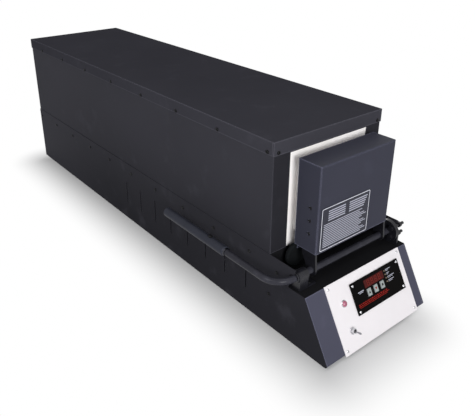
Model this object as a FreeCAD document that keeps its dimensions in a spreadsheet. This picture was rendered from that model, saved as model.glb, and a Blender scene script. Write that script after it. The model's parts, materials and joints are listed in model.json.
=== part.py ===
import FreeCAD, Part
import os
import re
import Sketcher
from FreeCAD import Placement, Rotation, Vector

# Long bench kiln of soft firebrick in a sheet-steel case, with a drop-forward door.
#
# Working frame of every sub-part: X to the right seen from the front, Y to the back, Z up, in
# millimetres, with X = 0 in the middle of the kiln, Y = 0 at the front edge of the lid and Z = 0 on the
# bench. The Placement of each sub-part then moves it so that the origin of the finished model is the
# middle of the footprint on the bench.

SIZES = {
    "firebrick lining": {
        "chamber_width": 139.7, "chamber_height": 107.95, "chamber_depth": 914.4, "brick_wall": 63.5,
        "brick_joint": 0.5, "course_bricks": 8, "wall_bricks": 4, "rear_board": 12.7, "wiring_gap": 14.2,
        "groove_height": 10.5, "groove_depth": 11, "groove_setback": 25, "groove_pitch": 54,
    },
    "heating": {
        "coil_diameter": 10, "coil_bend": 5.6, "lead_diameter": 3, "lead_tube": 8, "lead_bore": 3.4,
        "lead_end": 9, "probe_diameter": 4.8, "probe_reach": 25, "probe_drop": 20, "probe_tail": 8,
        "hole_gap": 0.2, "block_width": 30, "block_height": 18, "block_depth": 8,
    },
    "case": {
        "steel": 1.2, "lid_gap": 0.2, "side_gap": 0.05, "roof_gap": 1, "lid_flange": 24.5,
        "seam_height": 153, "shelf_height": 122.85, "shelf_flange": 15, "opening_width": 193,
        "opening_top": 333, "corner_slit": 1.6,
    },
    "base": {
        "foot_height": 4, "foot_diameter": 14, "foot_spread": 105, "foot_inset": 18, "deck_height": 112,
        "console_top": 84.5, "base_reach": 146, "corner_radius": 4, "ear_reach": 62, "ear_foot": 46,
        "right_ear": 66, "right_ear_foot": 58, "pan_flange": 12, "deck_flange": 24, "deck_flange_reach": 44, "lip_depth": 20,
        "baffle_setback": 5, "baffle_flange": 12, "vent_start": 63, "vent_pitch": 62.5, "vent_count": 8,
        "vent_width": 3, "vent_bottom": 50, "vent_height": 53,
    },
    "screws": {
        "screw_head": 7, "screw_head_height": 2.2, "screw_shank": 4, "screw_hole": 4.2,
        "lid_screw_start": 14.5, "lid_screw_pitch": 131, "lid_screw_drop": 20,
        "front_screw_inset": 9.5, "seam_screw_start": 54, "seam_screw_pitch": 105,
        "seam_screw_drop": 20, "deck_screw_y": 19, "deck_screw_rise": 14, "baffle_screw_height": 72,
    },
    "console": {
        "panel_left": 89.7, "panel_width": 203.2, "panel_length": 123.4, "panel_thickness": 1,
        "panel_inset": 7,
        "controller_left": 34.2, "controller_top": 17, "controller_width": 133.4, "controller_length": 57.2,
        "controller_thickness": 2, "controller_margin": 11, "controller_inset": 5, "small_screw": 3,
        "small_head": 5, "small_head_height": 1.4, "display_left": -1, "display_top": 5.5, "display_width": 53,
        "display_length": 14.5, "display_proud": 0.6, "button_first": 5.8, "button_pitch": 18.1,
        "button_width": 9.4, "button_length": 13, "button_top": 22.2, "button_proud": 1.6,
        "button_travel": 1, "button_gap": 0.25, "flange_lip": 1.2, "board_drop": 10.4, "board_thickness": 1.6,
        "standoff_diameter": 6, "lamp_x": 58, "lamp_top": 41.5, "lamp_bezel": 13, "lamp_barrel": 10.6,
        "lamp_lens": 10.4, "lamp_length": 18, "toggle_x": 58.8, "toggle_top": 90, "toggle_bush": 9.4,
        "toggle_bore": 6, "toggle_bush_height": 8, "toggle_nut": 11.5, "toggle_nut_height": 2.5,
        "toggle_pivot": 4, "toggle_ball": 5.4, "toggle_length": 17, "toggle_neck": 2.4, "toggle_tip": 3.8,
        "toggle_lean": 15, "toggle_body_width": 13, "toggle_body_length": 27, "toggle_body_depth": 20,
    },
    "hinge": {
        "shaft_forward": 57, "shaft_height": 135, "shaft_diameter": 12.7, "running_gap": 0.05,
        "bracket_x": 110, "housing_width": 20, "bracket_thickness": 4, "bracket_width": 22,
        "bracket_foot": 18, "right_bracket_x": 118, "outer_foot": 12, "bush_diameter": 17, "bush_flange": 22, "bush_flange_thickness": 2,
        "collar_diameter": 20, "collar_width": 3, "end_gap": 0.3, "bearing_diameter": 44,
        "bearing_thickness": 4, "bearing_bolt_offset": 9, "bearing_bolt_forward": 9, "bolt_diameter": 6, "bolt_head": 10,
        "bolt_head_height": 4, "bolt_end": 150, "nut_height": 5, "end_collar_diameter": 18,
        "end_collar_width": 7, "stop_diameter": 46, "stop_width": 8, "stop_stud": 16, "stop_x": 86, "stop_height": 141, "stop_gap": 0.3,
    },
    "handle": {
        "handle_offset": 172, "handle_bend": 36, "grip_start": 77, "grip_length": 191, "grip_diameter": 19,
        "grip_wall_end": 6, "grip_edge": 2, "ring_diameter": 15, "ring_width": 3, "grip_screw_y": 45,
        "grip_screw_head": 8, "grip_screw_height": 4,
    },
    "door": {
        "door_width": 189, "door_height": 161, "door_bottom": 168, "door_depth": 49.5, "door_standoff": 17.9,
        "door_flange": 8, "door_edge_radius": 2.5, "lip_drop": 12, "lip_width": 176, "pad_width": 152,
        "pad_overlap": 6, "face_gap": 0.3, "brick_gap": 1.3, "arm_thickness": 4, "arm_top": 262,
        "arm_top_width": 20, "arm_top_y": 58, "arm_boss": 10.3, "arm_rear": 34, "arm_slot_gap": 0.3,
        "arm_screw_y": 47, "arm_screw_low": 202, "arm_screw_pitch": 24, "arm_screw_count": 3,
        "label_left": 87.5, "label_width": 124, "label_bottom": 1.5, "label_height": 83.5,
        "label_thickness": 0.5,
    },
    "electrical bay": {
        "relay_width": 32, "relay_depth": 28, "relay_height": 46, "relay_pitch": 48, "relay_y": 150,
        "transformer_width": 52, "transformer_depth": 40, "transformer_height": 44, "transformer_y": 60,
        "core_height": 30, "terminal_width": 72, "terminal_depth": 22, "terminal_height": 18,
        "terminal_y": 930, "gland_x": 80, "gland_height": 62, "gland_diameter": 26, "gland_length": 16.2,
        "gland_barrel": 20, "gland_bore": 9, "gland_nut": 5,
    },
}

# Expressions shared by pieces that meet, in the names of the sheet.
LID_X = "(chamber_width / 2 + brick_wall + side_gap + 2 * steel + lid_gap)"
BASE_X = "(chamber_width / 2 + brick_wall + side_gap + 2 * steel)"
CASE_X = "(chamber_width / 2 + brick_wall + side_gap + steel)"
CASE_IN = "(chamber_width / 2 + brick_wall + side_gap)"
BRICK_X = "(chamber_width / 2 + brick_wall)"
FRONT_Y = "(steel + lid_gap)"
BRICK_Y = "(2 * steel + lid_gap)"
CHAMBER_END = f"({BRICK_Y} + chamber_depth)"
REAR_END = f"({CHAMBER_END} + brick_wall)"
BOARD_END = f"({REAR_END} + rear_board)"
BACK_Y = f"({BOARD_END} + wiring_gap + steel)"
BASE_BACK = f"({BACK_Y} + steel)"
LID_END = f"({BACK_Y} + lid_gap + steel)"
CHAMBER_FLOOR = "(shelf_height + brick_wall)"
CHAMBER_ROOF = f"({CHAMBER_FLOOR} + chamber_height)"
BRICK_TOP = f"({CHAMBER_ROOF} + brick_wall)"
LID_UNDER = f"({BRICK_TOP} + roof_gap)"
KILN_TOP = f"({LID_UNDER} + steel)"
FLANGE_LOW = f"({KILN_TOP} - lid_flange)"
LOW_ROW = f"({CHAMBER_FLOOR} + (chamber_height - groove_pitch) / 2)"
HIGH_ROW = f"({LOW_ROW} + groove_pitch)"
SLOPE = "((base_reach - console_top) / (deck_height - foot_height))"
SLOPE_ANGLE = "atan((deck_height - foot_height) / (base_reach - console_top))"
SLOPE_SHEET = f"(steel * sqrt(1 + {SLOPE} * {SLOPE}))"
DOOR_BACK = f"({FRONT_Y} - door_standoff)"
DOOR_FRONT = f"({DOOR_BACK} - door_depth)"
DOOR_TOP = "(door_bottom + door_height)"
ARM_X = "(door_width / 2 - steel)"
RIGHT_PLATE = "(right_bracket_x + bracket_thickness)"
SHAFT_RIGHT = f"({CASE_X} - end_gap)"
LID_SCREWS = f"(floor(({LID_END} - 2 * lid_screw_start) / lid_screw_pitch) + 1)"
SEAM_SCREWS = f"(floor(({LID_END} - seam_screw_start - screw_head) / seam_screw_pitch) + 1)"
PLATE_TOP = "(panel_thickness + controller_thickness)"
FRONT_REACH = (
    f"(console_top + toggle_top * cos({SLOPE_ANGLE}) + toggle_pivot * sin({SLOPE_ANGLE})"
    f" + toggle_length * sin({SLOPE_ANGLE} + toggle_lean * 1 deg))")
SHIFT_X = "((handle_offset + grip_diameter / 2 - bolt_end) / 2)"
SHIFT_Y = f"(({FRONT_REACH} - {BASE_BACK} - gland_length) / 2)"

document = FreeCAD.newDocument("firebrick_kiln")
dims = document.addObject("Spreadsheet::Sheet", "dims")
size_names = set()
row = 0
for group, sizes in SIZES.items():
    row += 1
    dims.set(f"A{row}", group)
    for name, value in sizes.items():
        row += 1
        dims.set(f"A{row}", name.replace("_", " "))
        dims.set(f"B{row}", str(value))
        dims.setAlias(f"B{row}", name)
        size_names.add(name)
document.recompute()

subparts = []


def bound(text):
    """Expression in which every name of the sheet is written as the sheet's own cell."""
    return re.sub(r"[a-z_]\w*", lambda m: "dims." + m[0] if m[0] in size_names else m[0], str(text))


def position(part, x, y, z, rotation=None):
    """Sets a shape's own origin at x, y, z, and turns it."""
    if rotation:
        part.Placement = Placement(Vector(), rotation)
    part.setExpression("Placement.Base.x", bound(x))
    part.setExpression("Placement.Base.y", bound(y))
    part.setExpression("Placement.Base.z", bound(z))
    return part


def place(part, x="0", y="0", z="0", rotation=None):
    """Sets a finished sub-part into the model, x, y, z being its own origin in the working frame."""
    position(part, f"{SHIFT_X} + {x}", f"{SHIFT_Y} + {y}", z, rotation)
    subparts.append(part)
    return part


def place_group(label, members):
    """One sub-part made of separate solids, each already in its place in the working frame."""
    group = document.addObject("Part::Compound", label)
    group.Label = label
    group.Links = members
    return place(group)


def position_on_slope(part, x="0", y="-console_top", z="deck_height", lean="0"):
    """Sets a shape on the sloped console: own X across, own Y up the slope, own Z out of it."""
    position(part, x, y, z, Rotation(Vector(1, 0, 0), 60))
    part.setExpression("Placement.Rotation.Angle", bound(f"{SLOPE_ANGLE} + ({lean}) * 1 deg"))
    return part


def place_on_slope(part, x="0", y="-console_top", z="deck_height", lean="0"):
    """Sets a finished sub-part on the sloped console."""
    position_on_slope(part, f"{SHIFT_X} + {x}", f"{SHIFT_Y} + {y}", z, lean)
    subparts.append(part)
    return part


def new_body(label):
    """Empty body for one sub-part."""
    body = document.addObject("PartDesign::Body", label)
    body.Label = label
    return body


PLANES = {"x": "YZ_Plane", "y": "XZ_Plane", "z": "XY_Plane"}


def origin_feature(body, role):
    """Plane or axis of the body's own origin."""
    return next(f for f in body.Origin.OriginFeatures if f.Role == role)


def new_sketch(body, axis, offset="0"):
    """Sketch square to an axis, at a distance along it. Its own axes are the other two, in X, Y, Z order."""
    sketch = body.newObject("Sketcher::SketchObject", "Sketch")
    sketch.AttachmentSupport = (origin_feature(body, PLANES[axis]), [""])
    sketch.MapMode = "FlatFace"
    sign = "-1 * " if axis == "y" else ""
    sketch.setExpression("AttachmentOffset.Base.z", bound(f"{sign}({offset})"))
    return sketch


def hold(sketch, kind, geometry, point, text):
    """Dimension from the sketch's origin to a point, bound to an expression."""
    index = sketch.addConstraint(Sketcher.Constraint(kind, -1, 1, geometry, point, 1.0))
    sketch.setExpression(f"Constraints[{index}]", bound(text))


def polygon(sketch, points):
    """Closed outline whose corners are pairs of expressions."""
    first = sketch.GeometryCount
    count = len(points)
    ring = [Vector(10, 0, 0), Vector(0, 10, 0), Vector(-10, 0, 0), Vector(0, -10, 0)]
    guess = [ring[(4 * i) // count] + Vector(i, i * i * 0.1, 0) for i in range(count)]
    for i in range(count):
        sketch.addGeometry(Part.LineSegment(guess[i], guess[(i + 1) % count]), False)
    for i in range(count):
        follower = first + (i + 1) % count
        sketch.addConstraint(Sketcher.Constraint("Coincident", first + i, 2, follower, 1))
    for i, (across, up) in enumerate(points):
        hold(sketch, "DistanceX", first + i, 1, across)
        hold(sketch, "DistanceY", first + i, 1, up)


def rectangle(sketch, low_x, high_x, low_y, high_y):
    """Closed rectangle between four expressions."""
    polygon(sketch, [(low_x, low_y), (high_x, low_y), (high_x, high_y), (low_x, high_y)])


def circle(sketch, across, up, diameter):
    """Circle with its centre and diameter bound."""
    index = sketch.addGeometry(Part.Circle(Vector(1, 1, 0), Vector(0, 0, 1), 1), False)
    hold(sketch, "DistanceX", index, 3, across)
    hold(sketch, "DistanceY", index, 3, up)
    ring = sketch.addConstraint(Sketcher.Constraint("Diameter", index, 2.0))
    sketch.setExpression(f"Constraints[{ring}]", bound(diameter))


def pad(body, axis, low, high, draw):
    """Adds material between two positions along an axis. draw(sketch) makes the outline."""
    sketch = new_sketch(body, axis, low)
    draw(sketch)
    feature = body.newObject("PartDesign::Pad", "Pad")
    feature.Profile = sketch
    feature.Reversed = axis == "y"
    feature.setExpression("Length", bound(f"({high}) - ({low})"))
    body.Tip = feature
    return feature


def pocket(body, axis, low, high, draw):
    """Takes material away between two positions along an axis."""
    sketch = new_sketch(body, axis, low)
    draw(sketch)
    feature = body.newObject("PartDesign::Pocket", "Pocket")
    feature.Profile = sketch
    feature.Reversed = axis != "y"
    feature.setExpression("Length", bound(f"({high}) - ({low})"))
    body.Tip = feature
    return feature


def repeat(body, feature, axis, pitch, count):
    """Linear pattern of a feature along one of the body's own axes."""
    document.recompute()
    pattern = body.newObject("PartDesign::LinearPattern", "Pattern")
    pattern.Originals = [feature]
    pattern.Direction = (origin_feature(body, f"{axis.upper()}_Axis"), [""])
    pattern.Mode = "Spacing"
    pattern.setExpression("Offset", bound(pitch))
    pattern.setExpression("Occurrences", bound(count))
    body.Tip = pattern
    return pattern


def fillet(body, radius, choose):
    """Rounds the edges of the body's last feature for which choose(edge) is true."""
    document.recompute()
    base = body.Tip
    names = [f"Edge{i + 1}" for i, edge in enumerate(base.Shape.Edges) if choose(edge)]
    feature = body.newObject("PartDesign::Fillet", "Fillet")
    feature.Base = (base, names)
    feature.setExpression("Radius", bound(radius))
    body.Tip = feature
    return feature


def straight(edge, direction):
    """True for a straight edge parallel to a direction."""
    ends = edge.Vertexes
    if len(ends) < 2 or not isinstance(edge.Curve, Part.Line):
        return False
    run = ends[1].Point - ends[0].Point
    return run.cross(direction).Length < 1e-6 * run.Length


def turned(label, points):
    """Body turned about its own Z, from an outline of radius and height pairs."""
    body = new_body(label)
    sketch = new_sketch(body, "y")
    polygon(sketch, points)
    feature = body.newObject("PartDesign::Revolution", "Revolution")
    feature.Profile = sketch
    feature.ReferenceAxis = (sketch, ["V_Axis"])
    feature.Angle = 360
    body.Tip = feature
    return body


def block(label, x, y, z):
    """Body in the shape of one box, each of x, y and z being a pair of expressions."""
    body = new_body(label)
    pad(body, "z", z[0], z[1], lambda s: rectangle(s, x[0], x[1], y[0], y[1]))
    return body


DIRECTIONS = {
    "-x": Vector(-1, 0, 0), "+x": Vector(1, 0, 0), "-y": Vector(0, -1, 0), "+y": Vector(0, 1, 0),
    "+z": Vector(0, 0, 1),
}


def turn(outward, along):
    """Rotation that lays a body's own Z along one direction and its own X along another."""
    z, x = DIRECTIONS[outward], DIRECTIONS[along]
    return Rotation(x, z.cross(x), z, "ZXY")


def screw_body(label, length, head="screw_head", height="screw_head_height", shank="screw_shank"):
    """Pan-head screw standing on its own Z = 0, its shank below."""
    return turned(label, [
        ("0", f"-({length})"), (f"{shank} / 2", f"-({length})"), (f"{shank} / 2", "0"), (f"{head} / 2", "0"),
        (f"{head} / 2", f"{height} * 0.45"), (f"{head} * 0.3", height), ("0", height),
    ])


def screw_row(outward, x, y, z, pitch="0", count="1", length="2 * steel", along=None):
    """Row of equal screws in the working frame, the first one's seat at x, y, z."""
    body = screw_body("screw_row", length)
    if count != "1":
        repeat(body, body.Tip, "x", pitch, count)
    return position(body, x, y, z, turn(outward, along or ("+x" if outward[1] == "y" else "+y")))


def firebrick_lining():
    """Floor and roof courses, grooved side walls, rear wall and the board behind it."""
    pitch = "(chamber_depth / course_bricks)"
    for label, low in (("floor_bricks", "shelf_height"), ("roof_bricks", CHAMBER_ROOF)):
        course = block(
            label, (f"-{BRICK_X}", BRICK_X), (BRICK_Y, f"{BRICK_Y} + {pitch} - brick_joint"),
            (low, f"{low} + brick_wall"))
        repeat(course, course.Tip, "y", pitch, "course_bricks")
        place(course)
    side_walls()
    rear = block("rear_bricks", (f"-{BRICK_X}", BRICK_X), (CHAMBER_END, REAR_END), ("shelf_height", BRICK_TOP))
    pocket(rear, "y", CHAMBER_END, REAR_END, lambda s: rear_holes(s))
    place(rear)
    board = block("rear_board", (f"-{BRICK_X}", BRICK_X), (REAR_END, BOARD_END), ("shelf_height", BRICK_TOP))
    pocket(board, "y", REAR_END, BOARD_END, lambda s: rear_holes(s))
    place(board)


def coil_x(side):
    """Middle of the heating element's groove."""
    return f"{'-' if side == 'left' else ''}(chamber_width / 2 + groove_depth / 2)"


PROBE_Z = f"({CHAMBER_ROOF} - probe_drop)"


def rear_holes(sketch):
    """Holes for the four element lead tubes and the temperature probe."""
    for side in ("left", "right"):
        for height in (LOW_ROW, HIGH_ROW):
            circle(sketch, coil_x(side), height, "lead_tube + 2 * hole_gap")
    circle(sketch, "0", PROBE_Z, "probe_diameter + 2 * hole_gap")


def side_walls():
    """Side walls of upright bricks, each wall with one U-shaped groove for its heating element."""
    walls = new_body("wall_bricks")
    pitch = "(chamber_depth / wall_bricks)"

    def first_bricks(sketch):
        rectangle(sketch, "chamber_width / 2", BRICK_X, BRICK_Y, f"{BRICK_Y} + {pitch} - brick_joint")
        rectangle(sketch, f"-{BRICK_X}", "-chamber_width / 2", BRICK_Y, f"{BRICK_Y} + {pitch} - brick_joint")

    bricks = pad(walls, "z", CHAMBER_FLOOR, CHAMBER_ROOF, first_bricks)
    repeat(walls, bricks, "y", pitch, "wall_bricks")
    start = f"({BRICK_Y} + groove_setback)"
    half = "groove_height / 2"
    groove = [
        (start, f"{LOW_ROW} - {half}"), (CHAMBER_END, f"{LOW_ROW} - {half}"),
        (CHAMBER_END, f"{LOW_ROW} + {half}"), (f"{start} + groove_height", f"{LOW_ROW} + {half}"),
        (f"{start} + groove_height", f"{HIGH_ROW} - {half}"), (CHAMBER_END, f"{HIGH_ROW} - {half}"),
        (CHAMBER_END, f"{HIGH_ROW} + {half}"), (start, f"{HIGH_ROW} + {half}"),
    ]
    pocket(walls, "x", "chamber_width / 2", "chamber_width / 2 + groove_depth", lambda s: polygon(s, groove))
    pocket(walls, "x", "-(chamber_width / 2 + groove_depth)", "-chamber_width / 2",
           lambda s: polygon(s, groove))
    place(walls)


def heating():
    """Two U-shaped elements with their leads in porcelain tubes, and the temperature probe."""
    elements = new_body("heating_elements")
    for side in ("left", "right"):
        path = new_sketch(elements, "x", coil_x(side))
        bend_path(path, [
            (CHAMBER_END, LOW_ROW), (f"{BRICK_Y} + groove_setback + groove_height / 2", HIGH_ROW),
            (CHAMBER_END, HIGH_ROW)], "coil_bend")
        sweep(elements, path, "y", CHAMBER_END, coil_x(side), LOW_ROW, "coil_diameter")

    def each_lead(sketch, diameters):
        for side in ("left", "right"):
            for height in (LOW_ROW, HIGH_ROW):
                for diameter in diameters:
                    circle(sketch, coil_x(side), height, diameter)

    pad(elements, "y", CHAMBER_END, f"{BOARD_END} + lead_end", lambda s: each_lead(s, ["lead_diameter"]))
    place(elements)
    tubes = new_body("lead_tubes")
    pad(tubes, "y", CHAMBER_END, f"{BOARD_END} + 3", lambda s: each_lead(s, ["lead_tube", "lead_bore"]))
    place(tubes)
    probe = new_body("thermocouple")
    pad(probe, "y", f"{CHAMBER_END} - probe_reach", f"{BOARD_END} + probe_tail",
        lambda s: circle(s, "0", PROBE_Z, "probe_diameter"))
    pad(probe, "y", BOARD_END, f"{BOARD_END} + block_depth", lambda s: rectangle(
        s, "-block_width / 2", "block_width / 2", f"{PROBE_Z} - block_height / 2",
        f"{PROBE_Z} + block_height / 2"))
    place(probe)


def bend_path(sketch, points, radius):
    """U-shaped path: along to a turning line, up it and back, with two equal bends.

    points are the start, a point that gives the turning line's place and the height of the return, and the
    end.
    """
    start, turn, end = points
    lines = [
        Part.LineSegment(Vector(900, 0, 0), Vector(60, 0, 0)),
        Part.LineSegment(Vector(40, 20, 0), Vector(40, 40, 0)),
        Part.LineSegment(Vector(60, 60, 0), Vector(900, 60, 0)),
    ]
    arcs = [
        Part.ArcOfCircle(Part.Circle(Vector(60, 20, 0), Vector(0, 0, 1), 20), 3.1416, 4.7124),
        Part.ArcOfCircle(Part.Circle(Vector(60, 40, 0), Vector(0, 0, 1), 20), 1.5708, 3.1416),
    ]
    sketch.addGeometry(lines[0], False)
    sketch.addGeometry(arcs[0], False)
    sketch.addGeometry(lines[1], False)
    sketch.addGeometry(arcs[1], False)
    sketch.addGeometry(lines[2], False)
    sketch.addConstraint(Sketcher.Constraint("Tangent", 0, 2, 1, 2))
    sketch.addConstraint(Sketcher.Constraint("Tangent", 1, 1, 2, 1))
    sketch.addConstraint(Sketcher.Constraint("Tangent", 2, 2, 3, 2))
    sketch.addConstraint(Sketcher.Constraint("Tangent", 3, 1, 4, 1))
    sketch.addConstraint(Sketcher.Constraint("Horizontal", 0))
    sketch.addConstraint(Sketcher.Constraint("Vertical", 2))
    sketch.addConstraint(Sketcher.Constraint("Horizontal", 4))
    for arc in (1, 3):
        index = sketch.addConstraint(Sketcher.Constraint("Radius", arc, 20.0))
        sketch.setExpression(f"Constraints[{index}]", bound(radius))
    hold(sketch, "DistanceX", 0, 1, start[0])
    hold(sketch, "DistanceY", 0, 1, start[1])
    hold(sketch, "DistanceX", 2, 1, turn[0])
    hold(sketch, "DistanceX", 4, 2, end[0])
    hold(sketch, "DistanceY", 4, 2, end[1])


def sweep(body, path, axis, offset, across, up, diameter):
    """Round bar along a path. Its section lies square to an axis, at the path's start."""
    section = new_sketch(body, axis, offset)
    circle(section, across, up, diameter)
    document.recompute()
    feature = body.newObject("PartDesign::AdditivePipe", "Pipe")
    feature.Profile = section
    feature.Spine = (path, [f"Edge{i + 1}" for i in range(len(path.Shape.Edges))])
    body.Tip = feature
    return feature


def case():
    """Lid, sides, front with its cut-out, back and the shelf that carries the bricks."""
    lid = new_body("lid")
    pad(lid, "z", FLANGE_LOW, KILN_TOP, lambda s: rectangle(s, f"-{LID_X}", LID_X, "0", LID_END))
    pocket(lid, "z", FLANGE_LOW, LID_UNDER,
           lambda s: rectangle(s, f"-{LID_X} + steel", f"{LID_X} - steel", "steel", f"{LID_END} - steel"))
    for corner_x in (f"-{LID_X}", f"({LID_X} - steel)"):
        for corner_y in ("steel", f"({LID_END} - steel - corner_slit)"):
            pocket(lid, "z", FLANGE_LOW, LID_UNDER, lambda s, x=corner_x, y=corner_y: rectangle(
                s, x, f"{x} + steel", y, f"{y} + corner_slit"))
    screw_z = f"({KILN_TOP} - lid_screw_drop)"
    for low in (f"-{LID_X}", f"({LID_X} - steel)"):
        hole = pocket(lid, "x", low, f"{low} + steel",
                      lambda s: circle(s, "lid_screw_start", screw_z, "screw_hole"))
        repeat(lid, hole, "y", "lid_screw_pitch", LID_SCREWS)
    for low in ("0", f"({LID_END} - steel)"):
        pocket(lid, "y", low, f"{low} + steel", lambda s: lid_end_holes(s, screw_z))
    place(lid)
    for side in ("left", "right"):
        low = f"-{CASE_X}" if side == "left" else CASE_IN
        panel = new_body(f"case_side_{side}")
        pad(panel, "x", low, f"{low} + steel", lambda s: rectangle(
            s, BRICK_Y, f"{BACK_Y} - steel", "shelf_height - shelf_flange", LID_UNDER))
        hole = pocket(panel, "x", low, f"{low} + steel",
                      lambda s: circle(s, "lid_screw_start", screw_z, "screw_hole"))
        repeat(panel, hole, "y", "lid_screw_pitch", LID_SCREWS)
        hole = pocket(panel, "x", low, f"{low} + steel", lambda s: circle(
            s, "seam_screw_start", "seam_height - seam_screw_drop", "screw_hole"))
        repeat(panel, hole, "y", "seam_screw_pitch", SEAM_SCREWS)
        place(panel)
    front = new_body("case_front")
    pad(front, "y", FRONT_Y, BRICK_Y, lambda s: polygon(s, [
        (f"-{CASE_X}", "seam_height"), ("-opening_width / 2", "seam_height"),
        ("-opening_width / 2", "opening_top"), ("opening_width / 2", "opening_top"),
        ("opening_width / 2", "seam_height"), (CASE_X, "seam_height"), (CASE_X, LID_UNDER),
        (f"-{CASE_X}", LID_UNDER)]))
    pocket(front, "y", FRONT_Y, BRICK_Y, lambda s: lid_end_holes(s, screw_z))
    place(front)
    back = block("case_back", (f"-{CASE_X}", CASE_X), (f"{BACK_Y} - steel", BACK_Y), ("seam_height", LID_UNDER))
    pocket(back, "y", f"{BACK_Y} - steel", BACK_Y, lambda s: lid_end_holes(s, screw_z))
    place(back)
    shelf = new_body("brick_shelf")
    pad(shelf, "z", "shelf_height - shelf_flange", "shelf_height", lambda s: rectangle(
        s, f"-{CASE_IN}", CASE_IN, BRICK_Y, f"{BACK_Y} - steel"))
    pocket(shelf, "z", "shelf_height - shelf_flange", "shelf_height - steel", lambda s: rectangle(
        s, f"-{CASE_IN} + steel", f"{CASE_IN} - steel", f"{BRICK_Y} - 1", f"{BACK_Y} + 1"))
    place(shelf)
    through = "2 * steel + lid_gap"
    rows = [screw_row(outward, x, "lid_screw_start", screw_z, "lid_screw_pitch", LID_SCREWS, through)
            for outward, x in (("-x", f"-{LID_X}"), ("+x", LID_X))]
    span = f"2 * ({CASE_X} - front_screw_inset)"
    rows += [screw_row(outward, f"-{CASE_X} + front_screw_inset", y, screw_z, span, "2", through)
             for outward, y in (("-y", "0"), ("+y", LID_END))]
    place_group("lid_screws", rows)


def lid_end_holes(sketch, height):
    """Two holes near the corners, for the screws at the ends of the lid."""
    for sign in ("-", ""):
        circle(sketch, f"{sign}({CASE_X} - front_screw_inset)", height, "screw_hole")


def base():
    """Sides with vents and ears, pan, back, deck, sloped console front, baffle and feet."""
    for side in ("left", "right"):
        place(base_side(side))
    inner = CASE_X
    pan = block("base_pan", (f"-{inner}", inner), ("lip_depth - base_reach", BACK_Y),
                ("foot_height", "foot_height + pan_flange"))
    pocket(pan, "z", "foot_height + steel", "foot_height + pan_flange", lambda s: rectangle(
        s, f"-{inner} + steel", f"{inner} - steel", "lip_depth - base_reach - 1", f"{BACK_Y} + 1"))
    place(pan)
    back = block("base_back", (f"-{inner}", inner), (BACK_Y, BASE_BACK), ("foot_height", "seam_height"))
    pocket(back, "y", BACK_Y, BASE_BACK, lambda s: circle(s, "-gland_x", "gland_height", "gland_barrel"))
    place(back)
    deck = new_body("deck")
    pad(deck, "x", f"-{inner}", inner, lambda s: polygon(s, [
        ("-console_top", "deck_height - steel"), (BRICK_Y, "deck_height - steel"), (BRICK_Y, "seam_height"),
        (FRONT_Y, "seam_height"), (FRONT_Y, "deck_height"), ("-console_top", "deck_height")]))
    for low in (f"-{inner}", f"({inner} - steel)"):
        pad(deck, "x", low, f"{low} + steel", lambda s: rectangle(
            s, "-deck_flange_reach", FRONT_Y, "deck_height", "deck_height + deck_flange"))
        pocket(deck, "x", low, f"{low} + steel", lambda s: circle(
            s, "-deck_screw_y", "deck_height + deck_screw_rise", "screw_hole"))
    pocket(deck, "z", "deck_height - steel", "deck_height", bracket_holes)
    place(deck)
    front = new_body("bent_front")
    lid_z, low_z = "(deck_height - steel)", "(foot_height + steel)"

    def outer(z):
        return f"(({z} - foot_height) * {SLOPE} - base_reach)"

    def inside(z):
        return f"({outer(z)} + {SLOPE_SHEET})"

    pad(front, "x", f"-{inner}", inner, lambda s: polygon(s, [
        (outer(lid_z), lid_z), ("lip_depth - console_top", lid_z),
        ("lip_depth - console_top", f"{lid_z} - steel"), (inside(f"({lid_z} - steel)"), f"{lid_z} - steel"),
        (inside(low_z), low_z), ("lip_depth - base_reach", low_z), ("lip_depth - base_reach", "foot_height"),
        ("-base_reach", "foot_height")]))
    document.recompute()
    folds = [e for e in front.Tip.Shape.Edges if straight(e, Vector(1, 0, 0))]
    folds.sort(key=lambda e: (round(e.CenterOfMass.z, 3), e.CenterOfMass.y))
    outside, within = folds[0].CenterOfMass, folds[2].CenterOfMass
    fillet(front, "corner_radius", lambda e: straight(e, Vector(1, 0, 0)) and e.CenterOfMass.isEqual(outside, 1e-3))
    fillet(front, "corner_radius - steel",
           lambda e: straight(e, Vector(1, 0, 0)) and e.CenterOfMass.isEqual(within, 1e-3))
    pocket(front, "y", "-base_reach", "-console_top", lambda s: rectangle(
        s, "-lamp_x - lamp_bezel", "controller_width - controller_left + 4", "foot_height + 14",
        "deck_height - 12"))
    drills = new_body("screw_drills")
    pad(drills, "z", "-3 * steel", "steel", lambda s: panel_corners(s, "screw_hole - 1"))
    position_on_slope(drills)
    drilled = document.addObject("Part::Cut", "console_front")
    drilled.Label = "console_front"
    drilled.Base = front
    drilled.Tool = drills
    place(drilled)
    baffle = block("heat_baffle", (f"-{inner}", inner),
                   ("baffle_setback - baffle_flange", "baffle_setback + steel"),
                   ("foot_height + pan_flange", "shelf_height - shelf_flange"))
    pocket(baffle, "z", "foot_height + pan_flange", "shelf_height - shelf_flange", lambda s: rectangle(
        s, f"-{inner} + steel", f"{inner} - steel", "baffle_setback - baffle_flange - 1", "baffle_setback"))
    pocket(baffle, "x", f"-{inner}", inner, lambda s: circle(
        s, "baffle_setback - baffle_flange / 2", "baffle_screw_height", "screw_hole"))
    place(baffle)
    feet()
    base_screws()


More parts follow.
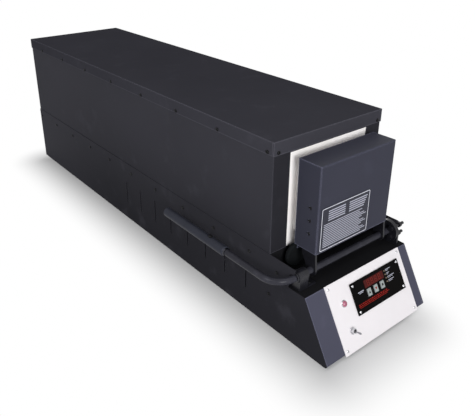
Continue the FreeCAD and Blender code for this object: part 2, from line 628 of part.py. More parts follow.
def base_side(side):
    """One side of the base: vents, the ear in front of the case, and a rounded lower front corner."""
    low = f"-{BASE_X}" if side == "left" else CASE_X
    if side == "left":
        ear = [("-ear_reach", "seam_height"), ("-ear_foot", "deck_height")]
    else:
        ear = [("-right_ear", "seam_height"), ("-right_ear_foot", "deck_height")]
    panel = new_body(f"base_side_{side}")
    pad(panel, "x", low, f"{low} + steel", lambda s: polygon(s, [
        (BASE_BACK, "foot_height"), (BASE_BACK, "seam_height"), *ear, ("-console_top", "deck_height"),
        ("-base_reach", "foot_height")]))
    document.recompute()
    corner = min(
        (e for e in panel.Tip.Shape.Edges if straight(e, Vector(1, 0, 0))),
        key=lambda e: e.CenterOfMass.y + e.CenterOfMass.z).CenterOfMass
    fillet(panel, "corner_radius",
           lambda e: straight(e, Vector(1, 0, 0)) and e.CenterOfMass.isEqual(corner, 1e-3))
    slot = pocket(panel, "x", low, f"{low} + steel", lambda s: rectangle(
        s, "vent_start - vent_width / 2", "vent_start + vent_width / 2", "vent_bottom",
        "vent_bottom + vent_height"))
    repeat(panel, slot, "y", "vent_pitch", "vent_count")
    hole = pocket(panel, "x", low, f"{low} + steel", lambda s: circle(
        s, "seam_screw_start", "seam_height - seam_screw_drop", "screw_hole"))
    repeat(panel, hole, "y", "seam_screw_pitch", SEAM_SCREWS)

    def other_holes(sketch):
        circle(sketch, "-deck_screw_y", "deck_height + deck_screw_rise", "screw_hole")
        circle(sketch, "baffle_setback - baffle_flange / 2", "baffle_screw_height", "screw_hole")
        if side == "left":
            circle(sketch, "-shaft_forward", "shaft_height", "shaft_diameter + 3")
        else:
            for sign in ("-", "+"):
                circle(sketch, "-shaft_forward - bearing_bolt_forward",
                       f"shaft_height {sign} bearing_bolt_offset", "bolt_diameter + 2 * hole_gap")

    pocket(panel, "x", low, f"{low} + steel", other_holes)
    return panel


def feet():
    """Low glides under the pan and the console's lip."""
    glides = new_body("feet")
    front = "foot_inset - base_reach"
    rear = f"{BASE_BACK} - foot_inset"

    def all_feet(sketch):
        for along in (front, f"({front} + {rear}) / 2", rear):
            for across in ("-foot_spread", "0", "foot_spread"):
                circle(sketch, across, along, "foot_diameter")

    pad(glides, "z", "0", "foot_height", all_feet)
    place(glides)


def base_screws():
    """Screws of the seam, the deck and the baffle."""
    rows = []
    for outward, face in (("-x", f"-{BASE_X}"), ("+x", BASE_X)):
        rows.append(screw_row(outward, face, "seam_screw_start", "seam_height - seam_screw_drop",
                              "seam_screw_pitch", SEAM_SCREWS))
        rows.append(screw_row(outward, face, "-deck_screw_y", "deck_height + deck_screw_rise"))
        rows.append(screw_row(outward, face, "baffle_setback - baffle_flange / 2", "baffle_screw_height"))
    place_group("base_screws", rows)


def bracket_plate_x(side):
    """Inner and outer face of a hinge bracket's upright, from the middle."""
    if side == "left":
        return "-(bracket_x + housing_width)", "-bracket_x"
    return "right_bracket_x", RIGHT_PLATE


def bracket_foot_middles():
    """Middle of each bracket's foot, across."""
    yield "(bracket_foot / 2 - bracket_x)"
    yield f"({RIGHT_PLATE} + outer_foot / 2)"


def bracket_holes(sketch):
    """Holes in the deck for the bracket screws."""
    for across in bracket_foot_middles():
        for sign in ("-", "+"):
            circle(sketch, across, f"-shaft_forward {sign} bracket_width / 4", "screw_hole")


def hinge():
    """Brackets, bush, bearing flange with its bolts, door stops: all that stays on the case."""
    for side in ("left", "right"):
        low, high = bracket_plate_x(side)
        width = "bracket_width" if side == "left" else "bearing_diameter"
        bracket = new_body(f"hinge_bracket_{side}")
        pad(bracket, "x", low, high, lambda s: rectangle(
            s, f"-shaft_forward - {width} / 2", f"-shaft_forward + {width} / 2", "deck_height",
            "shaft_height"))
        pad(bracket, "x", low, high, lambda s: circle(s, "-shaft_forward", "shaft_height", width))
        foot = (high, f"{high} + bracket_foot" if side == "left" else f"{high} + outer_foot")
        pad(bracket, "z", "deck_height", "deck_height + bracket_thickness", lambda s: rectangle(
            s, foot[0], foot[1], "-shaft_forward - bracket_width / 2", "-shaft_forward + bracket_width / 2"))
        pocket(bracket, "z", "deck_height", "deck_height + bracket_thickness", bracket_holes)
        pocket(bracket, "x", low, high, lambda s: circle(
            s, "-shaft_forward", "shaft_height", "bush_diameter" if side == "left" else "shaft_diameter + 2"))
        if side == "right":
            pocket(bracket, "x", low, high, bearing_bolt_holes)
        place(bracket)
    bush = turned("shaft_bush", [
        ("shaft_diameter / 2 + running_gap", "-housing_width"), ("bush_diameter / 2", "-housing_width"),
        ("bush_diameter / 2", "0"), ("bush_flange / 2", "0"), ("bush_flange / 2", "bush_flange_thickness"),
        ("shaft_diameter / 2 + running_gap", "bush_flange_thickness")])
    place(bush, "-bracket_x", "-shaft_forward", "shaft_height", turn("+x", "+y"))
    bearing_low = "(right_bracket_x - bearing_thickness)"
    bearing = new_body("bearing_flange")
    pad(bearing, "x", bearing_low, "right_bracket_x", lambda s: circle(
        s, "-shaft_forward", "shaft_height", "bearing_diameter"))
    pocket(bearing, "x", bearing_low, "right_bracket_x", lambda s: circle(
        s, "-shaft_forward", "shaft_height", "shaft_diameter + 2 * running_gap"))
    pocket(bearing, "x", bearing_low, "right_bracket_x", bearing_bolt_holes)
    place(bearing)
    bolts = new_body("bolts")
    pad(bolts, "x", f"{bearing_low} - bolt_head_height", bearing_low,
        lambda s: bolt_hexagons(s, "bolt_head"))
    pad(bolts, "x", bearing_low, "bolt_end", lambda s: bolt_circles(s, "bolt_diameter"))
    nuts = new_body("nuts")
    for low in (RIGHT_PLATE, BASE_X):
        pad(nuts, "x", low, f"{low} + nut_height", lambda s: bolt_hexagons(s, "bolt_head"))
    pocket(nuts, "x", RIGHT_PLATE, "bolt_end", lambda s: bolt_circles(s, "bolt_diameter"))
    place_group("bearing_bolts", [bolts, nuts])
    place_group("bracket_screws", [
        screw_row("+z", across, "-shaft_forward - bracket_width / 4", "deck_height + bracket_thickness",
                  "bracket_width / 2", "2", "bracket_thickness + steel")
        for across in bracket_foot_middles()])
    stops = []
    face = "(door_standoff - stop_gap)"
    for sign in ("-", ""):
        stop = turned("stop", [
            ("0", "0"), ("stop_stud / 2", "0"), ("stop_stud / 2", f"{face} - stop_width"),
            ("stop_diameter / 2 - 2", f"{face} - stop_width"), ("stop_diameter / 2", f"{face} - stop_width + 2"),
            ("stop_diameter / 2", f"{face} - 2"), ("stop_diameter / 2 - 2", face), ("0", face)])
        stops.append(position(stop, f"{sign}stop_x", FRONT_Y, "stop_height", turn("-y", "+x")))
    place_group("door_stops", stops)


def bolt_circles(sketch, diameter):
    """Circles on the axes of the two bearing bolts."""
    for sign in ("-", "+"):
        circle(sketch, "-shaft_forward - bearing_bolt_forward", f"shaft_height {sign} bearing_bolt_offset",
               diameter)


def bearing_bolt_holes(sketch):
    """Clearance holes for the two bearing bolts."""
    bolt_circles(sketch, "bolt_diameter + 2 * hole_gap")


def hexagon(sketch, across, up, flats):
    """Hexagon about a centre, by its width across flats."""
    point, shoulder = f"{flats} * 0.57735", f"{flats} * 0.288675"
    polygon(sketch, [
        (f"{across} + {point}", up), (f"{across} + {shoulder}", f"{up} + {flats} / 2"),
        (f"{across} - {shoulder}", f"{up} + {flats} / 2"), (f"{across} - {point}", up),
        (f"{across} - {shoulder}", f"{up} - {flats} / 2"), (f"{across} + {shoulder}", f"{up} - {flats} / 2")])


def bolt_hexagons(sketch, flats):
    """Hexagons on the axes of the two bearing bolts."""
    for sign in ("-", "+"):
        hexagon(sketch, "-shaft_forward - bearing_bolt_forward", f"shaft_height {sign} bearing_bolt_offset",
                flats)


def shaft_and_handle():
    """Cross shaft bent back into the handle, with its collars, grip, ring and grip screw."""
    shaft = new_body("hinge_shaft")
    path = new_sketch(shaft, "z", "shaft_height")
    path.addGeometry(Part.LineSegment(Vector(130, -57, 0), Vector(-136, -57, 0)), False)
    path.addGeometry(Part.ArcOfCircle(Part.Circle(Vector(-136, -21, 0), Vector(0, 0, 1), 36), 3.1416, 4.7124), False)
    path.addGeometry(Part.LineSegment(Vector(-172, -21, 0), Vector(-172, 262, 0)), False)
    path.addConstraint(Sketcher.Constraint("Tangent", 0, 2, 1, 2))
    path.addConstraint(Sketcher.Constraint("Tangent", 1, 1, 2, 1))
    path.addConstraint(Sketcher.Constraint("Horizontal", 0))
    path.addConstraint(Sketcher.Constraint("Vertical", 2))
    bend = path.addConstraint(Sketcher.Constraint("Radius", 1, 36.0))
    path.setExpression(f"Constraints[{bend}]", bound("handle_bend"))
    hold(path, "DistanceX", 0, 1, SHAFT_RIGHT)
    hold(path, "DistanceY", 0, 1, "-shaft_forward")
    hold(path, "DistanceX", 2, 2, "-handle_offset")
    hold(path, "DistanceY", 2, 2, "grip_start + grip_length - grip_wall_end")
    sweep(shaft, path, "x", SHAFT_RIGHT, "-shaft_forward", "shaft_height", "shaft_diameter")
    place(shaft)
    bore = "shaft_diameter / 2"
    collar = turned("shaft_collar", [
        (bore, "0"), ("collar_diameter / 2", "0"), ("collar_diameter / 2", "collar_width"),
        (bore, "collar_width")])
    place(collar, "-(bracket_x + housing_width + end_gap)", "-shaft_forward", "shaft_height", turn("-x", "+y"))
    end = turned("end_collar", [
        (bore, "0"), ("end_collar_diameter / 2", "0"), ("end_collar_diameter / 2", "end_collar_width"),
        (bore, "end_collar_width")])
    place(end, f"{SHAFT_RIGHT} - end_collar_width", "-shaft_forward", "shaft_height", turn("+x", "+y"))
    grip = turned("handle_grip", [
        (bore, "0"), ("grip_diameter / 2 - grip_edge", "0"), ("grip_diameter / 2", "grip_edge"),
        ("grip_diameter / 2", "grip_length - grip_edge"), ("grip_diameter / 2 - grip_edge", "grip_length"),
        ("0", "grip_length"), ("0", "grip_length - grip_wall_end"), (bore, "grip_length - grip_wall_end")])
    pocket(grip, "y", "-grip_diameter / 2", "0",
           lambda s: circle(s, "0", "grip_screw_y", "screw_shank"))
    place(grip, "-handle_offset", "grip_start", "shaft_height", turn("+y", "+x"))
    ring = turned("grip_ring", [
        (bore, "0"), ("ring_diameter / 2", "0"), ("ring_diameter / 2", "ring_width"), (bore, "ring_width")])
    place(ring, "-handle_offset", "grip_start - ring_width", "shaft_height", turn("+y", "+x"))
    screw = screw_body("grip_screw", "(grip_diameter - shaft_diameter) / 2 - 0.2", "grip_screw_head",
                       "grip_screw_height")
    place(screw, "-handle_offset", "grip_start + grip_screw_y", "shaft_height + grip_diameter / 2")


def door():
    """Door shell, its brick, the two hinge arms, their screws and the plate on the front."""
    half = "door_width / 2"
    shell = new_body("door_shell")
    pad(shell, "y", DOOR_FRONT, DOOR_BACK, lambda s: rectangle(
        s, f"-{half}", half, "door_bottom", DOOR_TOP))
    fillet(shell, "door_edge_radius", front_door_edge)
    pocket(shell, "y", f"{DOOR_FRONT} + steel", f"{DOOR_BACK} - steel", lambda s: rectangle(
        s, f"-{ARM_X}", ARM_X, "door_bottom + steel", f"{DOOR_TOP} - steel"))
    pocket(shell, "y", f"{DOOR_BACK} - steel", DOOR_BACK, lambda s: rectangle(
        s, f"-{ARM_X} + door_flange", f"{ARM_X} - door_flange", "door_bottom + steel",
        f"{DOOR_TOP} - steel - door_flange"))
    pad(shell, "y", f"{DOOR_BACK} - steel", DOOR_BACK, lambda s: rectangle(
        s, "-lip_width / 2", "lip_width / 2", "door_bottom - lip_drop", "door_bottom + steel"))
    for low in (f"-{ARM_X}", f"({ARM_X} - arm_thickness - arm_slot_gap)"):
        pocket(shell, "z", "door_bottom", "door_bottom + steel", lambda s: rectangle(
            s, low, f"{low} + arm_thickness + arm_slot_gap", f"{DOOR_FRONT} + steel",
            "-arm_rear + arm_slot_gap"))
    for low in (f"-{half}", ARM_X):
        hole = pocket(shell, "x", low, f"{low} + steel", lambda s: circle(
            s, "-arm_screw_y", "arm_screw_low", "screw_hole"))
        repeat(shell, hole, "z", "arm_screw_pitch", "arm_screw_count")
    place(shell)
    brick = block(
        "door_brick", (f"-({ARM_X} - arm_thickness - brick_gap)", f"{ARM_X} - arm_thickness - brick_gap"),
        (f"{DOOR_FRONT} + steel", f"{DOOR_BACK} - steel"), ("door_bottom + steel", f"{DOOR_TOP} - steel"))
    pad(brick, "y", f"{DOOR_BACK} - steel", f"{BRICK_Y} - face_gap", lambda s: rectangle(
        s, "-pad_width / 2", "pad_width / 2", f"{CHAMBER_FLOOR} - pad_overlap",
        f"{CHAMBER_ROOF} + pad_overlap"))
    place(brick)
    arms = []
    for low in (f"-{ARM_X}", f"({ARM_X} - arm_thickness)"):
        arm = new_body("arm")
        pad(arm, "x", low, f"{low} + arm_thickness", lambda s: polygon(s, [
            ("-shaft_forward - arm_boss", "shaft_height"), ("-shaft_forward + arm_boss", "shaft_height"),
            ("-arm_rear", "door_bottom - 8"), ("-arm_rear", "door_bottom + 30"),
            ("-arm_top_y + arm_top_width", "arm_top"), ("-arm_top_y", "arm_top"),
            (f"{DOOR_FRONT} + steel", "door_bottom + 30"), (f"{DOOR_FRONT} + steel", "door_bottom - 8")]))
        pad(arm, "x", low, f"{low} + arm_thickness", lambda s: circle(
            s, "-shaft_forward", "shaft_height", "2 * arm_boss"))
        pocket(arm, "x", low, f"{low} + arm_thickness", lambda s: circle(
            s, "-shaft_forward", "shaft_height", "shaft_diameter"))
        hole = pocket(arm, "x", low, f"{low} + arm_thickness", lambda s: circle(
            s, "-arm_screw_y", "arm_screw_low", "screw_hole"))
        repeat(arm, hole, "z", "arm_screw_pitch", "arm_screw_count")
        arms.append(arm)
    place_group("hinge_arms", arms)
    place_group("arm_screws", [
        screw_row(outward, face, "-arm_screw_y", "arm_screw_low", "arm_screw_pitch", "arm_screw_count",
                  "steel + arm_thickness", "+z")
        for outward, face in (("-x", f"-{half}"), ("+x", half))])
    plate = block("door_plate", ("-label_left", "label_width - label_left"),
                  (f"{DOOR_FRONT} - label_thickness", DOOR_FRONT),
                  ("door_bottom + label_bottom", "door_bottom + label_bottom + label_height"))
    place(plate)


def front_door_edge(edge):
    """True for the edges of the door shell's front face, apart from the bottom one."""
    middle = edge.CenterOfMass
    flat = edge.BoundBox.YLength < 1e-6
    return flat and middle.y < -dims.get("shaft_forward") and middle.z > dims.get("door_bottom") + 1


def console():
    """Control plate, controller, buttons, lamp and toggle switch on the slope."""
    top = "panel_thickness"
    left = "-controller_left"
    right = "(controller_width - controller_left)"
    panel = block("control_plate", ("-panel_left", "panel_width - panel_left"), ("-panel_length", "0"), ("0", top))
    pocket(panel, "z", "0", top, lambda s: rectangle(
        s, f"{left} + controller_margin", f"{right} - controller_margin",
        "-controller_top - controller_length + 3", "-controller_top - 3"))

    def panel_holes(sketch):
        circle(sketch, "-lamp_x", "-lamp_top", "lamp_barrel + 2 * hole_gap")
        circle(sketch, "-toggle_x", "-toggle_top", "toggle_bush + 2 * hole_gap")
        controller_corners(sketch, "small_screw + 2 * hole_gap")
        panel_corners(sketch, "small_screw + 2 * hole_gap")

    pocket(panel, "z", "0", top, panel_holes)
    place_on_slope(panel)
    plate = block("controller_plate", (left, right), ("-controller_top - controller_length", "-controller_top"),
                  (top, PLATE_TOP))
    pocket(plate, "z", top, PLATE_TOP, lambda s: controller_openings(s))
    place_on_slope(plate)
    lens_x = ("display_left", "display_left + display_width")
    lens_y = ("-controller_top - display_top - display_length", "-controller_top - display_top")
    lens = block(
        "display_window", (f"{lens_x[0]} + hole_gap", f"{lens_x[1]} - hole_gap"),
        (f"{lens_y[0]} + hole_gap", f"{lens_y[1]} - hole_gap"), (f"{top} - 1", f"{PLATE_TOP} + display_proud"))
    pad(lens, "z", f"{top} - 1", top, lambda s: rectangle(
        s, f"{lens_x[0]} - 1.5", f"{lens_x[1]} + 1.5", f"{lens_y[0]} - 0.8", f"{lens_y[1]} + 1.5"))
    place_on_slope(lens)
    for index in range(3):
        place_on_slope(button(index))
    board = block("controller_board", (left, right), ("-controller_top - controller_length", "-controller_top"),
                  ("-board_drop - board_thickness", "-board_drop"))
    pad(board, "z", "-board_drop", "-board_drop + 2.2", lambda s: switch_bodies(s))
    pocket(board, "z", "-board_drop - board_thickness", "-board_drop",
           lambda s: controller_corners(s, "small_screw + 2 * hole_gap"))
    place_on_slope(board)
    standoffs = new_body("board_standoffs")
    pad(standoffs, "z", "-board_drop", "0", lambda s: controller_corners(s, "standoff_diameter"))
    pocket(standoffs, "z", "-board_drop", "0", lambda s: controller_corners(s, "small_screw"))
    place_on_slope(standoffs)
    screws = new_body("console_screws")
    pad(screws, "z", "-board_drop + 1", PLATE_TOP, lambda s: controller_corners(s, "small_screw"))
    pad(screws, "z", PLATE_TOP, f"{PLATE_TOP} + small_head_height",
        lambda s: controller_corners(s, "small_head"))
    pad(screws, "z", "-steel", top, lambda s: panel_corners(s, "small_screw"))
    pad(screws, "z", top, f"{top} + small_head_height", lambda s: panel_corners(s, "small_head"))
    place_on_slope(screws)
    lamp_and_toggle()


def controller_corners(sketch, diameter):
    """Circles at the four corner screws of the controller."""
    for across in ("-controller_left + controller_inset", "controller_width - controller_left - controller_inset"):
        for up in ("-controller_top - controller_inset", "-controller_top - controller_length + controller_inset"):
            circle(sketch, across, up, diameter)


def panel_corners(sketch, diameter):
    """Circles at the four corner screws of the control plate."""
    for across in ("-panel_left + panel_inset", "panel_width - panel_left - panel_inset"):
        for up in ("-panel_inset", "panel_inset - panel_length"):
            circle(sketch, across, up, diameter)


def button_box(index, grow):
    """Edges of one button's cap, grown by a margin."""
    middle = f"(button_first + {index} * button_pitch)"
    low = "(-controller_top - button_top - button_length)"
    return (f"{middle} - button_width / 2 - {grow}", f"{middle} + button_width / 2 + {grow}",
            f"{low} - {grow}", f"{low} + button_length + {grow}")


def controller_openings(sketch):
    """Window, button and screw openings of the controller plate."""
    rectangle(sketch, "display_left", "display_left + display_width",
              "-controller_top - display_top - display_length", "-controller_top - display_top")
    for index in range(3):
        rectangle(sketch, *button_box(index, "button_gap"))
    controller_corners(sketch, "small_screw + 2 * hole_gap")


def switch_bodies(sketch):
    """Small square switches on the board, one under each button."""
    for index in range(3):
        middle = f"(button_first + {index} * button_pitch)"
        centre = "(-controller_top - button_top - button_length / 2)"
        rectangle(sketch, f"{middle} - 3", f"{middle} + 3", f"{centre} - 3", f"{centre} + 3")


def button(index):
    """One push button: proud cap, flange behind the plate, stem towards its switch."""
    body = new_body(f"button_{index + 1}")
    back = "(panel_thickness - flange_lip - 0.3)"
    pad(body, "z", back, f"{PLATE_TOP} + button_proud", lambda s: rectangle(s, *button_box(index, "0")))
    pad(body, "z", back, f"{back} + flange_lip", lambda s: rectangle(s, *button_box(index, "flange_lip")))
    pad(body, "z", "-board_drop + 2.2 + button_travel + 0.3", back, lambda s: circle(
        s, f"button_first + {index} * button_pitch", "-controller_top - button_top - button_length / 2", "4"))
    return body


def lamp_and_toggle():
    """Pilot lamp with its bezel, and the toggle switch with nut and lever."""
    top = "panel_thickness"
    lamp = turned("lamp_bezel", [
        ("0", "-lamp_length"), ("lamp_barrel / 2", "-lamp_length"), ("lamp_barrel / 2", top),
        ("lamp_bezel / 2", top), ("lamp_bezel / 2", f"{top} + 1"), ("lamp_lens / 2 + 0.6", f"{top} + 2"),
        ("lamp_lens / 2", f"{top} + 2"), ("lamp_lens / 2", f"{top} + 1"), ("0", f"{top} + 1")])
    slope_turned(lamp, "-lamp_x", "lamp_top")
    lens = turned("lamp_lens", [
        ("0", f"{top} + 1"), ("lamp_lens / 2 - 0.05", f"{top} + 1"), ("lamp_lens / 2 - 0.05", f"{top} + 2.4"),
        ("lamp_lens * 0.42", f"{top} + 3.6"), ("lamp_lens * 0.25", f"{top} + 4.5"), ("0", f"{top} + 4.8")])
    slope_turned(lens, "-lamp_x", "lamp_top")
    switch = block(
        "toggle_switch", ("-toggle_x - toggle_body_width / 2", "-toggle_x + toggle_body_width / 2"),
        ("-toggle_top - toggle_body_length / 2", "-toggle_top + toggle_body_length / 2"),
        ("-1 - toggle_body_depth", "-1"))
    pad(switch, "z", "-1", "toggle_bush_height", lambda s: circle(s, "-toggle_x", "-toggle_top", "toggle_bush"))
    pocket(switch, "z", "0", "toggle_bush_height",
           lambda s: circle(s, "-toggle_x", "-toggle_top", "toggle_bore"))
    place_on_slope(switch)
    nut = new_body("toggle_nut")
    pad(nut, "z", top, f"{top} + toggle_nut_height", lambda s: hexagon(s, "-toggle_x", "-toggle_top", "toggle_nut"))
    pocket(nut, "z", top, f"{top} + toggle_nut_height",
           lambda s: circle(s, "-toggle_x", "-toggle_top", "toggle_bush"))
    place_on_slope(nut)
    lever = turned("toggle_lever", [
        ("0", "-toggle_ball / 2"), ("toggle_ball * 0.35", "-toggle_ball * 0.35"), ("toggle_ball / 2", "0"),
        ("toggle_ball * 0.35", "toggle_ball * 0.35"), ("toggle_neck / 2", "toggle_ball / 2"),
        ("toggle_tip / 2", "toggle_length - 3"), ("toggle_tip * 0.35", "toggle_length - 0.6"),
        ("0", "toggle_length")])
    slope_turned(lever, "-toggle_x", "toggle_top", "toggle_pivot", "toggle_lean")


def slope_point(down, out):
    """Working-frame Y and Z of a point on the console: a distance down the slope and one out of it."""
    cosine, sine = f"cos({SLOPE_ANGLE})", f"sin({SLOPE_ANGLE})"
    return (f"(-console_top - ({down}) * {cosine} - ({out}) * {sine})",
            f"(deck_height - ({down}) * {sine} + ({out}) * {cosine})")


def slope_turned(body, x, down, out="0", lean="0"):
    """Sets a turned sub-part on the console, upright or leaning down the slope."""
    y, z = slope_point(down, out)
    place_on_slope(body, x, y, z, lean)


def electrical_bay():
    """Relays, transformer and terminal block on the pan, and the gland in the back of the base."""
    floor = "(foot_height + steel)"
    relays = block("power_relays", ("-relay_pitch / 2 - relay_width / 2", "-relay_pitch / 2 + relay_width / 2"),
                   ("relay_y", "relay_y + relay_depth"), (floor, f"{floor} + relay_height"))
    repeat(relays, relays.Tip, "x", "relay_pitch", "2")
    place(relays)
    core = block("transformer", ("-transformer_width / 2", "transformer_width / 2"),
                 ("transformer_y", "transformer_y + transformer_depth"), (floor, f"{floor} + core_height"))
    pad(core, "z", floor, f"{floor} + transformer_height", lambda s: rectangle(
        s, "-transformer_width / 4", "transformer_width / 4", "transformer_y + 5",
        "transformer_y + transformer_depth - 5"))
    place(core)
    strip = block("terminal_block", ("-gland_x", "-gland_x + terminal_width"),
                  ("terminal_y", "terminal_y + terminal_depth"), (floor, f"{floor} + terminal_height"))
    place(strip)
    gland = turned("cord_gland", [
        ("gland_bore / 2", "-steel - gland_nut"), ("gland_diameter / 2", "-steel - gland_nut"),
        ("gland_diameter / 2", "-steel"), ("gland_barrel / 2", "-steel"), ("gland_barrel / 2", "0"),
        ("gland_diameter / 2", "0"), ("gland_diameter / 2", "gland_length * 0.4"),
        ("gland_barrel / 2", "gland_length * 0.6"), ("gland_barrel / 2 - 2", "gland_length"),
        ("gland_bore / 2", "gland_length")])
    place(gland, "-gland_x", BASE_BACK, "gland_height", turn("+y", "+x"))


def check_and_write():
    """Stops on any failed object, then writes one file for each sub-part."""
    document.recompute()
    for thing in document.Objects:
        if {"Invalid", "Error"} & set(thing.State):
            raise RuntimeError(f"{thing.Name} of {thing.Label}: {thing.State}")
        if thing.TypeId == "PartDesign::Pocket" and thing.Shape.Volume > thing.BaseFeature.Shape.Volume - 1e-3:
            raise RuntimeError(f"{thing.Name} in {thing.getParentGeoFeatureGroup().Label} cuts nothing")
    os.makedirs("parts", exist_ok=True)
    for part in subparts:
        if part.Shape.isNull() or not part.Shape.isValid():
            raise RuntimeError(f"{part.Label} has no valid shape")
        part.Shape.exportStep(f"parts/{part.Label}.step")
    print(len(subparts), "sub-parts written")


firebrick_lining()
heating()
case()
base()
hinge()
shaft_and_handle()
door()
console()
electrical_bay()
check_and_write()
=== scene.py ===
"""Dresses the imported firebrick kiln: finishes, screws, printed marks, coils, stage and camera."""

from __future__ import annotations

import json
import logging
import math
from dataclasses import dataclass, field
from enum import Enum
from typing import Iterable, Sequence, Union

import bmesh
import bpy
from mathutils import Matrix, Vector

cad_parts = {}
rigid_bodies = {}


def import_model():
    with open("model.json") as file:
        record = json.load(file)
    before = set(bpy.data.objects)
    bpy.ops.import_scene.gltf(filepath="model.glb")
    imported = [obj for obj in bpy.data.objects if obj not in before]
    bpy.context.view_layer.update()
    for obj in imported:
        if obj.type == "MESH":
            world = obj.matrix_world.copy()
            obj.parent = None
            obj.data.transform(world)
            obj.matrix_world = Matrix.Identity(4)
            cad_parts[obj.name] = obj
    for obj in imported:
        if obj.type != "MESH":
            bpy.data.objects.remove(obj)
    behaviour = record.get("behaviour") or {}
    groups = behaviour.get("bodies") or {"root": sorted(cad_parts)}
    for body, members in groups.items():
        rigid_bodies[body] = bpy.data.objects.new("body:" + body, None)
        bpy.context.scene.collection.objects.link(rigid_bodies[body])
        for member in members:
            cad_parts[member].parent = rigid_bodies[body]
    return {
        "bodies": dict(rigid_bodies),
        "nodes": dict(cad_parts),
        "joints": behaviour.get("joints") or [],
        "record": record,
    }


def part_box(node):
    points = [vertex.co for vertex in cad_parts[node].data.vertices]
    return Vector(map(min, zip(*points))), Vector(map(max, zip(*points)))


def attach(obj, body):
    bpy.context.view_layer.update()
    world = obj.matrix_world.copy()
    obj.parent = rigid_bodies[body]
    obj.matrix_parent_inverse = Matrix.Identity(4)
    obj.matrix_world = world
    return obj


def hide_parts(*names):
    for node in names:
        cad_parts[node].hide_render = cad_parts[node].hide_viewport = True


log = logging.getLogger("kiln")

Colour = tuple[float, float, float]
Triple = tuple[float, float, float]
Point = tuple[float, float]
Number = Union[int, float]
Mesh = bmesh.types.BMesh

# Printed marks stand this far off the face under them, and are this thick, in metres.
INK_GAP = 0.00001
INK_FILM = 0.00006

# In the finishes, grain, line, cloud and other patterns are scales of a noise, whose patches are
# 1 / scale metres wide. lay stretches a pattern along X, Y and Z, and depths are in metres.


class Socket:
    """An output socket that takes part in arithmetic, each step adding a Math node."""

    def __init__(self, graph: "Graph", output: bpy.types.NodeSocket) -> None:
        """Wraps one output.

        Args:
            graph: the graph that the output belongs to.
            output: the node's own socket.
        """
        self.graph = graph
        self.output = output

    def _with(self, operation: str, first: "Operand", second: "Operand") -> "Socket":
        """One Math node on two operands."""
        return self.graph.node("ShaderNodeMath", {"operation": operation}, {0: first, 1: second})

    def __add__(self, other: "Operand") -> "Socket":
        """self + other."""
        return self._with("ADD", self, other)

    __radd__ = __add__

    def __sub__(self, other: "Operand") -> "Socket":
        """self - other."""
        return self._with("SUBTRACT", self, other)

    def __rsub__(self, other: "Operand") -> "Socket":
        """other - self."""
        return self._with("SUBTRACT", other, self)

    def __mul__(self, other: "Operand") -> "Socket":
        """self * other."""
        return self._with("MULTIPLY", self, other)

    __rmul__ = __mul__

    def __gt__(self, other: "Operand") -> "Socket":
        """1 where self is above other, else 0."""
        return self._with("GREATER_THAN", self, other)

    def between(self, low: Number, high: Number) -> "Socket":
        """0 at low and below, 1 at high and above, smooth between.

        Args:
            low: value that gives 0.
            high: value that gives 1.

        Returns:
            The smoothed mask.
        """
        settings = {"interpolation_type": "SMOOTHSTEP"}
        return self.graph.node("ShaderNodeMapRange", settings, {0: self, 1: low, 2: high})


Operand = Union[Socket, Number]


class Graph:
    """A tree of shader nodes, of a material or of the world."""

    def __init__(self, tree: bpy.types.NodeTree) -> None:
        """Wraps a tree.

        Args:
            tree: where new nodes go.
        """
        self.tree = tree

    def node(
        self,
        kind: str,
        settings: dict[str, object] | None = None,
        sockets: dict[Union[int, str], object] | None = None,
        out: Union[int, str] = 0,
    ) -> Socket:
        """Adds a node, sets it up and feeds it.

        Args:
            kind: Blender's name of the node's type.
            settings: the node's own properties, set first.
            sockets: values or links by the input's name or number.
            out: which output is handed back.

        Returns:
            The chosen output.
        """
        made = self.tree.nodes.new(kind)
        for name, value in (settings or {}).items():
            setattr(made, name, value)
        for key, value in (sockets or {}).items():
            self.feed(made.inputs[key], value)
        return Socket(self, made.outputs[out])

    def feed(self, target: bpy.types.NodeSocket, value: object) -> None:
        """Sets an input to a value, or links a socket to it.

        Args:
            target: the input.
            value: a number, a colour, a vector or a Socket.
        """
        if isinstance(value, Socket):
            self.tree.links.new(value.output, target)
        elif isinstance(value, tuple) and len(value) == 3 and target.type == "RGBA":
            target.default_value = (*value, 1.0)
        else:
            target.default_value = value

    def vector(self, operation: str, *operands: object, out: str = "Vector") -> Socket:
        """One Vector Math node on vectors."""
        return self.node("ShaderNodeVectorMath", {"operation": operation}, dict(enumerate(operands)), out)

    def place(self, stretch: Triple | None = None) -> Socket:
        """Object coordinates in metres, multiplied along each axis where a stretch is given."""
        spot = self.node("ShaderNodeTexCoord", out="Object")
        return self.vector("MULTIPLY", spot, stretch) if stretch else spot

    def along(self, axis: str) -> Socket:
        """One object coordinate, X, Y or Z, in metres."""
        return self.node("ShaderNodeSeparateXYZ", None, {0: self.place()}, out=axis)

    def noise(self, scale: float, detail: float, at: Socket | None = None) -> Socket:
        """Noise from 0 to 1, its patches about 1 / scale metres wide."""
        spot = at or self.place()
        return self.node("ShaderNodeTexNoise", None, {"Vector": spot, "Scale": scale, "Detail": detail})

    def blend(self, low: object, high: object, mask: Operand) -> Socket:
        """Colour between low and high, by a mask."""
        settings = {"data_type": "RGBA", "clamp_factor": True}
        return self.node("ShaderNodeMix", settings, {0: mask, 6: low, 7: high}, out=2)

    def relief(self, height: Socket, depth: float, strength: float) -> Socket:
        """Bump from a height whose 1 stands depth metres above its 0."""
        return self.node("ShaderNodeBump", None, {"Height": height, "Distance": depth, "Strength": strength})


